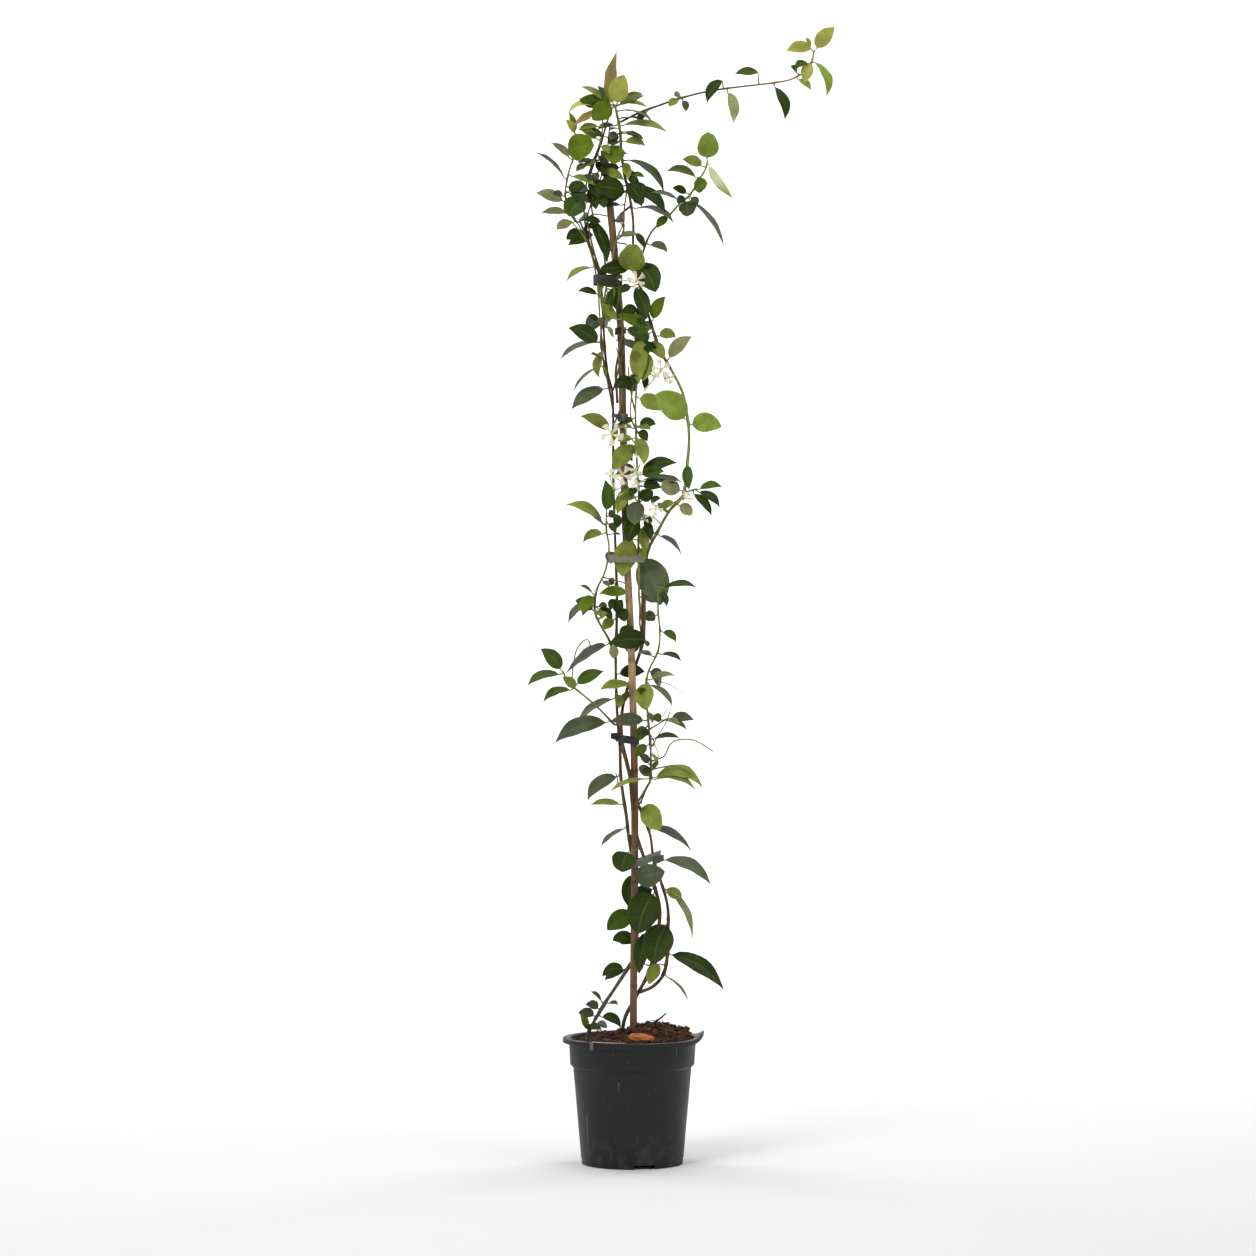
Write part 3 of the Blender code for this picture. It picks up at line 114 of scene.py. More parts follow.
# Leaves of the far side: spacing along a stem, lowest height, and the ranges of how far the tip
# lies aside and above the root, of the seen width, of the bow and of the tip's depth
BACK_SPACING = 122.0
BACK_LOWEST = 185.0
BACK_ASIDE = (6, 36)
BACK_ABOVE = (-22, 16)
BACK_WIDTH = (10, 18)
BACK_BOW = (2, 6)
BACK_DEPTH = (28, 52)

# Spacing of the points of a vine, a shoot, a thin stem and a smoothed stem
VINE_STEP = 24
SHOOT_STEP = 18
THIN_STEP = 9.0
SMOOTH_STEP = 6.0
# How far a shoot's foot sinks back, where its second point is, and the radii of the feet
ROOT_SINK = 2.0
SEAT_STEP = 2.5
SHOOT_FOOT = 0.7
SPRAY_FOOT = 0.6
LEAST_FOOT = 1.2
# No leaf springs closer than this to a stem's end, and a stem swells at leaves within the reach
END_INSET = 1.7
JOINT_REACH = 8

# Petals of a flower, faces across and along each, and what each draws: its curl and its length
PETALS = 5
PETAL_GRID = (4, 6)
PETAL_CURL = (0.05, 0.2)
PETAL_LENGTH = (0.92, 1.06)
# Length of a flower's tube, distance of each of its rings before the face, and their radii
TUBE_LENGTH = 8.5
TUBE_RINGS = ((0.2, 1.5), (-1.2, 1.25), (-3.2, 1.15), (-5.5, 0.95), (-TUBE_LENGTH, 0.9))
# Radii of a spray's stalk
SPRAY_RADII = (1.0, 0.9)

# The pot, as radii and heights
RIM_RADIUS = 83.5
RIM_INNER = 74.6
RIM_TOP = 151.0
BAND_BOTTOM = 117.0
BAND_RADIUS = 76.0
BODY_RADIUS = 71.0
FOOT_RADIUS = 61.0
POT_WALL = 1.8
FLOOR_TOP = 8.0
# The bent lip: how far below the rim's top it starts, how far it rises and how far it goes out
LIP_DROP = 5.0
RIM_PINCH = 8.5
RIM_SPREAD = 2.5
DRAIN_HOLES = 6
DRAIN_CIRCLE = 39
DRAIN_RADIUS = 5
NOTCH_PLACE = (14.5, -57.5, 1.5)
NOTCH_SIZE = (25, 25, 7)

# The peat: its level, the heap at the cane, its radius, and its rings and sides
SOIL_LEVEL = 150.0
SOIL_HEAP = 17.0
SOIL_RADIUS = RIM_INNER - 2.2
SOIL_RINGS = 27
SOIL_SIDES = 90
# Radii of most clods and of the others, the share of the first, and their shades
CLOD_SIZES = (0.7, 1.9)
LARGE_CLODS = (1.9, 3.6)
SMALL_SHARE = 0.85
CLOD_SHADES = (0.45, 2.3)
CLOD_BATCH = 60
# Lengths, rises along the length and radii of the fibres, and the shortest half that is kept
FIBRE_LENGTHS = (3, 15)
FIBRE_SLOPES = (-0.05, 0.35)
FIBRE_RADII = (0.2, 0.55)
LEAST_FIBRE = 0.6
# Route of the dry twig
TWIG = ((22, -8, 160), (28, -10, 170), (34, -12, 174), (41, -13, 180))

# Every stem is its radius at the foot and at the tip, and its route as (x, y, z).
# Every leaf is the x, z of its blade's start, the x, z of its tip, its seen width, its tone and
# the rise of its bow. A leaf springs from the nearest point of its own plant part's stems.

VINE_RIGHT = {
    "stems": (
        (2.4, 1.4, (
            (-13, 4, 132), (-13, 4, 155), (-6, 8.5, 184), (3, 10, 197), (9, 8.5, 205), (14, 6, 216), (22, 2, 235),
            (28, -2, 260), (33, -4, 290), (33, -5, 303), (27, -6, 330), (20, -7.5, 350), (14, -8.5, 366),
            (8, -9, 385), (3, -9, 402), (0, -9, 425), (-1, -9, 445), (-4, -9, 470), (-9, -8.5, 490), (-12, -6.5, 505),
            (-13, -5, 520), (-13, -3, 535), (-11, 4, 552), (-4, 9.5, 575), (5, 9.5, 600), (11, 7, 620), (13, 5, 645),
            (13, 4, 680), (13, 4, 705), (16, 3, 725), (23, 1, 745), (30, 0, 757), (36, -2, 770), (52, -4, 793),
            (61, -4, 803), (62, -4, 815), (66, -5, 840), (68, -5, 870), (66, -4, 895), (60, -3, 925), (54, -2, 940),
            (45, 0, 955), (38, 2, 967), (28, 4, 985), (24, 5, 995), (21, 6, 1012), (13, 7, 1040), (5, 7, 1070),
            (1, 6, 1100), (1, 4, 1130), (-1, 3, 1150), (-7, 3, 1175), (-12, 4, 1200), (-15, 5, 1240), (-18, 5, 1256),
            (-21, 4, 1270),
        )),
        (2.2, 1.3, (
            (9, 8.5, 205), (25, 8, 212), (38, 5, 228), (42, 3, 245), (43, 2, 270), (43, 2, 292), (42, 2, 310),
            (38, 3, 328), (33, 4, 342), (29, 5, 355), (25, 6, 368), (21, 7, 395), (15, 9, 410), (9, 10, 425),
            (4, 10, 440), (3, 9.5, 470), (3, 9, 500),
        )),
        (1.0, 0.8, ((-6, 3, 1172), (-11, -1, 1150), (-10, -6, 1130), (-20, -8, 1105), (-24, -8, 1082))),
    ),
    "leaves": (
        (-6, 373, -12, 349, 27, "D", 2), (39, 364, 94, 334, 12, "G", 9), (5, 338, 39, 350, 26, "G", 2),
        (28, 328, 7, 275, 37, "D", 4), (37, 331, 58, 317, 10, "O", 2), (46, 326, 72, 268, 8, "P", 7),
        (43, 291, 26, 238, 34, "D", 4), (18, 277, 9, 227, 17, "D", 3), (45, 253, 110, 208, 16, "D", 8),
        (32, 239, 20, 214, 15, "O", 2), (38, 228, 67, 196, 3, "M", 3), (9, 430, 33, 399, 24, "L", 3),
        (24, 402, 71, 374, 8, "U", 7), (10, 724, 34, 669, 36, "G", 4), (32, 755, 59, 729, 4, "U", 5),
        (16, 628, -28, 623, 22, "D", 3), (50, 794, 71, 777, 13, "P", 2), (55, 795, 33, 783, 9, "O", 3),
        (57, 807, 34, 812, 19, "P", 2), (66, 843, 68, 808, 12, "M", -1), (63, 890, 27, 922, 30, "L", 4),
        (70, 887, 107, 883, 22, "L", 4), (42, 963, 72, 992, 15, "P", 4), (25, 992, 52, 991, 12, "O", 4),
        (22, 985, 38, 964, 14, "O", 2), (22, 1008, 40, 1040, 14, "B", 3), (17, 1003, -20, 1018, 14, "B", 3),
        (3, 1050, 17, 1012, 17, "D", 3), (6, 1024, -12, 1021, 12, "D", 2), (0, 1070, 6, 1102, 30, "O", 3),
        (8, 1078, 28, 1045, 27, "D", 3), (-4, 1073, -40, 1070, 16, "D", 3), (0, 1148, 50, 1128, 10, "G", 8),
        (0, 1172, 40, 1140, 13, "D", 6), (-2, 1165, -45, 1170, 24, "D", 3), (-5, 1180, 11, 1148, 18, "D", 3),
        (-12, 1112, 7, 1115, 6, "P", 2), (-5, 1204, 38, 1165, 11, "D", 9), (-5, 1186, 15, 1183, 7, "M", 2),
        (-12, 1227, 16, 1220, 9, "O", 4), (-10, 1246, 42, 1237, 9, "O", 6), (-15, 1255, 15, 1250, 4, "D", 3),
        (-10, 1264, 24, 1250, 5, "G", 4), (-12, 1272, 13, 1283, 10, "O", 3), (-18, 1221, -22, 1199, 23, "B", 2),
        (-12, 1205, -5, 1181, 10, "Y", 2), (-28, 1270, -19, 1334, 12, "Z", 2), (-18, 1272, -10, 1306, 22, "Y", 2),
        (-30, 1273, -62, 1292, 8, "L", 3), (-22, 1268, -48, 1252, 22, "B", 3), (-30, 1270, -64, 1277, 12, "B", 3),
        (-12, 1197, -38, 1184, 13, "D", 3), (-16, 1237, -27, 1222, 11, "D", 2),
    ),
}

VINE_LEFT = {
    "stems": (
        (2.3, 1.2, (
            (-56, -5, 134), (-52, -5, 158), (-34, -4, 190), (-14, 2, 220), (-4, 8, 236), (4, 9.5, 252), (6, 9.5, 300),
            (3, 9.5, 350), (-3, 8.5, 378), (-5, 8, 400), (-7, 6.5, 415), (-10, 4.5, 432), (-12, 3, 450),
            (-14, 3, 465), (-15, 3, 500), (-17, 3, 520), (-19, 2, 560), (-20, 2, 600), (-19, 2, 640), (-18, 3, 655),
            (-19, 4, 700), (-21, 4, 760), (-23, 3, 830), (-23, 3, 880), (-24, 2, 925), (-30, 1, 950), (-33, 1, 980),
            (-35, 1, 1010), (-37, 2, 1045), (-38, 2, 1060), (-42, 2, 1072), (-47, 1, 1085), (-53, 0, 1104),
            (-58, -1, 1118), (-63, -1, 1130),
        )),
        (1.1, 0.8, ((-23, 1, 884), (-19, -5, 895), (-14, -9, 908), (-12, -9, 930), (-15, -9, 960), (-19, -9, 978))),
        (1.1, 0.8, (
            (-31, 1, 960), (-36, -4, 985), (-39, -6, 1015), (-41, -5, 1045), (-43, -5, 1064), (-48, -7, 1085),
            (-56, -9, 1108), (-66, -10, 1124), (-74, -10, 1131),
        )),
    ),
    "leaves": (
        (1, 352, -4, 306, 17, "D", 3), (2, 300, -30, 279, 22, "M", 4), (8, 262, -24, 267, 16, "D", 6),
        (-4, 232, -36, 224, 14, "D", 5), (-33, 191, -50, 206, 4, "D", 2), (-30, 191, -17, 190, 4, "D", 2),
        (-37, 184, -56, 190, 10, "G", 3), (-43, 176, -65, 180, 11, "G", 3), (-55, 162, -63, 179, 8, "O", 2),
        (-38, 176, -14, 162, 11, "D", 6), (-18, 467, -54, 435, 14, "G", 7), (-10, 431, -50, 430, 6, "O", 3),
        (-6, 405, -38, 380, 6, "G", 3), (-22, 560, -67, 527, 9, "G", 6), (-3, 575, -39, 568, 11, "O", 3),
        (-17, 668, -9, 650, 13, "D", 2), (-17, 694, -29, 697, 9, "G", 2), (-17, 632, 2, 643, 10, "D", 2),
        (-22, 655, -35, 640, 12, "O", 2), (-20, 877, -63, 896, 14, "O", 5), (-34, 929, -73, 904, 16, "G", 5),
        (-42, 985, -77, 1002, 18, "D", 4), (-43, 985, -87, 964, 8, "G", 6), (-37, 1010, -52, 1015, 7, "D", 2),
        (-35, 980, -40, 942, 10, "O", 4), (-36, 957, -71, 926, 4, "G", 5), (-27, 1010, -40, 1042, 13, "O", 3),
        (-45, 1077, -79, 1058, 8, "O", 5), (-37, 1042, -66, 1046, 8, "D", 3),
    ),
}

VINE_FRONT = {
    "stems": (
        (1.5, 1.0, (
            (12, 0, 652), (10, -5, 662), (8, -9, 680), (8, -10, 700), (7, -10, 745), (8, -10, 768), (8, -9, 800),
            (6, -9, 830), (5, -9, 860), (4, -9, 885), (4, -9, 915), (6, -8, 940), (10, -8, 962), (12, -8, 985),
        )),
    ),
    "leaves": (
        (0, 748, -12, 703, 26, "O", 3), (10, 765, 15, 733, 11, "O", 3), (15, 772, 22, 746, 10, "D", 2),
        (5, 798, 3, 766, 20, "G", 2), (4, 776, -5, 745, 18, "D", 2), (8, 792, 25, 806, 15, "D", 2),
        (-2, 810, -18, 778, 14, "L", 3), (10, 828, 54, 840, 14, "D", 5), (9, 820, 60, 817, 7, "D", 5),
        (8, 812, 35, 810, 11, "D", 3), (4, 882, -18, 883, 5, "P", 2), (8, 875, 14, 838, 15, "O", 3),
        (5, 884, 28, 887, 12, "D", 3), (3, 862, -22, 832, 20, "O", 4), (5, 920, 35, 903, 18, "O", 3),
        (10, 980, 12, 938, 20, "O", 3), (8, 940, -22, 930, 14, "D", 3), (12, 950, 15, 926, 8, "D", 2),
        (12, 985, 10, 1004, 12, "M", 2),
    ),
}

SHOOT_CENTRE = {
    "stems": (
        (1.5, 1.0, (
            (6, -9, 431), (11, -11, 441), (18, -11, 452), (22, -11, 462), (22, -11, 480), (22, -10, 500),
            (20, -10, 520), (18, -10, 545), (17, -10, 583), (28, -11, 605), (33, -12, 625), (33, -12, 640),
            (31, -12, 660), (30, -12, 678), (33, -12, 692),
        )),
        (0.9, 0.8, ((20, -10, 520), (31, -12, 527), (43, -13, 534))),
        (0.9, 0.8, ((22, -11, 482), (38, -13, 488), (45, -14, 502), (56, -15, 508), (75, -15, 507), (97, -14, 494))),
        (0.9, 0.8, ((22, -11, 472), (38, -14, 476), (55, -16, 476), (73, -17, 466))),
    ),
    "leaves": (
        (20, 463, -27, 446, 5, "O", 4), (22, 464, 85, 450, 15, "O", 14), (26, 509, 57, 510, 6, "D", 4),
        (21, 477, 8, 490, 9, "G", 2), (20, 504, 4, 487, 11, "M", 2), (20, 527, 8, 507, 13, "M", 2),
        (43, 535, 74, 531, 11, "G", 4), (42, 530, 65, 520, 5, "M", 3), (38, 531, 24, 534, 10, "M", 2),
        (17, 531, -27, 530, 15, "G", 2), (15, 581, 17, 543, 21, "O", 3), (17, 580, 52, 585, 7, "P", 4),
        (21, 577, 48, 548, 7, "G", 5), (27, 608, 6, 613, 6, "U", 2), (33, 611, 59, 602, 6, "D", 4),
        (33, 694, 77, 691, 8, "D", 5), (34, 692, 41, 668, 8, "D", 2), (29, 658, 16, 652, 13, "D", 2),
        (33, 640, 52, 625, 9, "M", 4),
    ),
}

SHOOT_LEFT_LOW = {
    "stems": (
        (1.4, 0.9, (
            (-20, -1, 526), (-27, -4, 532), (-45, -9, 550), (-66, -12, 567), (-78, -14, 578), (-83, -15, 590),
        )),
        (0.8, 0.8, (
            (-73, -13, 573), (-71, -16, 590), (-69, -18, 610), (-62, -19, 624), (-54, -19, 629), (-50, -19, 619),
        )),
    ),
    "leaves": (
        (-27, 530, -93, 504, 17, "G", 8), (-82, 590, -110, 617, 17, "M", 3), (-83, 589, -126, 573, 10, "M", 6),
        (-66, 575, -34, 590, 14, "M", 3), (-64, 567, -84, 583, 11, "O", 2), (-72, 567, -107, 553, 9, "M", 6),
    ),
}

SHOOT_LEFT_HIGH = {
    "stems": (
        (1.5, 1.0, (
            (-20, -3, 612), (-28, -6, 628), (-38, -9, 645), (-45, -10, 662), (-46, -10, 674), (-43, -10, 687),
            (-36, -9, 703), (-30, -9, 716), (-28, -9, 726), (-28, -9, 738), (-30, -10, 752), (-32, -10, 766),
            (-31, -10, 780),
        )),
        (0.8, 0.8, ((-36, -9, 703), (-24, -10, 702), (-12, -11, 697), (0, -10, 690))),
    ),
    "leaves": (
        (-30, 624, -80, 587, 9, "U", 5), (-26, 625, -22, 605, 11, "P", 2), (-45, 684, -60, 660, 14, "B", 3),
        (-50, 674, -77, 648, 8, "G", 5), (-47, 682, -63, 693, 4, "M", 2), (-43, 668, -24, 652, 10, "D", 3),
        (-35, 656, -46, 662, 7, "P", 2), (-7, 684, -40, 683, 12, "B", 3), (-30, 757, -59, 744, 10, "O", 6),
        (-29, 765, -80, 790, 10, "O", 8), (-30, 782, -33, 820, 15, "M", 3),
    ),
}

SHOOT_RIGHT = {
    "stems": (
        (1.1, 0.8, ((64, -6, 806), (70, -8, 807), (77, -10, 809))),
    ),
    "leaves": (
        (77, 810, 108, 811, 8, "M", 4), (77, 808, 105, 787, 9, "D", 4), (74, 803, 95, 777, 9, "D", 3),
    ),
}

SHOOT_LEFT_TOP = {
    "stems": (
        (1.2, 0.9, (
            (-65, -2, 1131), (-75, -4, 1140), (-80, -5, 1155), (-80, -5, 1170), (-76, -5, 1190), (-70, -5, 1205),
            (-68, -5, 1220), (-67, -5, 1234),
        )),
    ),
    "leaves": (
        (-68, 1130, -91, 1120, 11, "P", 3), (-78, 1138, -110, 1140, 7, "P", 3), (-81, 1152, -116, 1164, 13, "P", 3),
        (-80, 1160, -96, 1163, 7, "G", 2), (-79, 1180, -116, 1213, 6, "D", 4), (-70, 1203, -98, 1224, 8, "P", 3),
        (-77, 1212, -46, 1221, 30, "B", 3), (-80, 1163, -58, 1176, 12, "D", 2), (-67, 1234, -80, 1252, 8, "Y", 2),
        (-76, 1186, -45, 1173, 9, "O", 3),
    ),
}

SHOOT_TOP = {
    "stems": (
        (1.2, 0.9, (
            (-50, 4, 1088), (-52, 6, 1104), (-57, 6, 1130), (-58, 5, 1155), (-54, 2, 1180), (-48, -3, 1200),
            (-41, -7, 1215), (-37, -8, 1235), (-35, -8, 1255), (-37, -8, 1268),
        )),
    ),
    "leaves": (
        (-58, 1117, -79, 1108, 13, "D", 3), (-48, 1132, -30, 1080, 16, "D", 3), (-56, 1158, -76, 1136, 25, "M", 3),
        (-38, 1268, -70, 1245, 10, "Z", 1), (-37, 1269, -77, 1260, 8, "Y", 9), (-36, 1245, -65, 1239, 7, "O", 3),
        (-38, 1227, -60, 1238, 9, "O", 2), (-57, 1165, -36, 1178, 12, "D", 2),
    ),
}

SHOOT_RIGHT_TOP = {
    "stems": (
        (1.3, 0.9, (
            (6, 2, 1074), (11, -3, 1088), (15, -6, 1100), (25, -8, 1120), (45, -10, 1138), (60, -11, 1155),
            (68, -11, 1160), (73, -11, 1168), (80, -11, 1180), (88, -11, 1193), (90, -11, 1203),
        )),
    ),
    "leaves": (
        (14, 1105, 42, 1092, 9, "G", 5), (60, 1155, 22, 1165, 6, "G", 3), (68, 1163, 48, 1170, 9, "D", 2),
        (62, 1158, 66, 1136, 20, "D", 2), (72, 1166, 90, 1176, 16, "B", 2), (68, 1158, 110, 1100, 7, "D", 6),
        (90, 1205, 90, 1237, 24, "L", 1), (88, 1195, 60, 1204, 12, "O", 3), (80, 1183, 41, 1190, 10, "M", 6),
        (90, 1203, 122, 1157, 11, "V", -4), (45, 1139, 30, 1122, 10, "M", 2),
    ),
}

SHOOT_LONG = {
    "stems": (
        (1.4, 0.9, (
            (-13, 1, 1250), (0, -4, 1257), (20, -5, 1265), (45, -6, 1273), (60, -6, 1279), (87, -6, 1285),
            (103, -6, 1288), (125, -6, 1291), (160, -5, 1295), (180, -4, 1298), (192, -4, 1301), (205, -3, 1308),
            (213, -3, 1315), (217, -3, 1325), (218, -3, 1335),
        )),
    ),
    "leaves": (
        (58, 1280, 44, 1268, 9, "O", 2), (60, 1277, 64, 1262, 8, "D", 2), (108, 1299, 90, 1272, 12, "D", 5),
        (114, 1290, 121, 1247, 12, "P", 4), (151, 1309, 123, 1307, 10, "M", 2), (170, 1296, 183, 1252, 13, "D", 5),
        (219, 1335, 243, 1363, 17, "Y", 2), (215, 1337, 185, 1334, 14, "Y", 4), (212, 1322, 196, 1311, 8, "M", 5),
        (216, 1325, 208, 1296, 14, "Y", 2), (219, 1321, 233, 1280, 12, "L", 8), (214, 1338, 208, 1350, 6, "Y", 1),
        (20, 1266, 6, 1248, 8, "D", 2), (196, 1303, 214, 1287, 8, "L", 3),
    ),
}

# Name of each part's node, its table, and the part that it grows from
GREENERY = (
    ("vine_left", VINE_LEFT, None),
    ("vine_right", VINE_RIGHT, None),
    ("vine_front", VINE_FRONT, "vine_right"),
    ("shoot_centre", SHOOT_CENTRE, "vine_right"),
    ("shoot_left_low", SHOOT_LEFT_LOW, "vine_left"),
    ("shoot_left_high", SHOOT_LEFT_HIGH, "vine_left"),
    ("shoot_right", SHOOT_RIGHT, "vine_right"),
    ("shoot_left_top", SHOOT_LEFT_TOP, "vine_left"),
    ("shoot_top", SHOOT_TOP, "vine_left"),
    ("shoot_right_top", SHOOT_RIGHT_TOP, "vine_right"),
    ("shoot_long", SHOOT_LONG, "vine_right"),
)

# Far leaves that are left out by their number, as the photograph shows white ground where they stand
FAR_UNSEEN = {"vine_left": (0, 2), "vine_right": (0, 2, 5, 7, 8), "shoot_centre": (2,), "shoot_long": (0, 1)}
# Parts with leaves on the far side, in the order of their draws
BACK_PARTS = ("vine_left", "vine_right", "vine_front", "shoot_centre", "shoot_left_high", "shoot_top", "shoot_long")

# Directions that the flowers face
FACE_EYE = (0.0, -1.0, 0.1)
FACE_LEFT = (-0.7, -0.7, 0.1)
FACE_RIGHT = (0.6, -0.75, 0.2)
FACE_UP = (0.1, -0.6, 0.8)
FACE_DOWN = (0.1, -0.8, -0.5)
# Flower sprays: parent, stalk route, then flowers as (x, y, z, radius, facing) and buds as (x, y, z)
SPRAYS = (
    ("spray_middle", "vine_front", (
        (6, -12, 795), (1, -16, 802), (-5, -19, 812), (-9, -20, 817),
    ), (
        (-12, -30, 826, 12, FACE_EYE), (4, -26, 832, 10, FACE_RIGHT), (-27, -24, 824, 10, FACE_LEFT),
        (7, -24, 814, 8, FACE_DOWN), (-25, -22, 809, 8, FACE_LEFT),
    ), ((-14, -18, 802),)),
    ("spray_upper", "vine_front", (
        (3, -12, 866), (-3, -16, 870), (-10, -18, 871),
    ), ((-25, -28, 875, 14, FACE_EYE),), ((5, -21, 849), (-8, -24, 884))),
    ("spray_right", "vine_right", (
        (53, -8, 792), (57, -12, 796), (60, -14, 799),
    ), ((62, -22, 803, 8, FACE_UP),), ((70, -18, 797),)),
    ("spray_centre", "vine_right", (
        (33, -5, 768), (29, -10, 772), (24, -13, 776),
    ), ((28, -22, 786, 9, FACE_EYE), (14, -22, 773, 7, FACE_LEFT)), ()),
    ("spray_high", "vine_right", (
        (41, -3, 960), (38, -10, 955), (34, -14, 951),
    ), ((34, -24, 953, 11, FACE_EYE), (44, -20, 943, 8, FACE_RIGHT), (24, -20, 945, 7, FACE_LEFT)), ((16, -18, 929),)),
    ("spray_top", "vine_right", (
        (7, 2, 1062), (6, -6, 1058), (3, -12, 1056),
    ), ((5, -21, 1060, 11, FACE_EYE),), ((-14, -17, 1060),)),
)

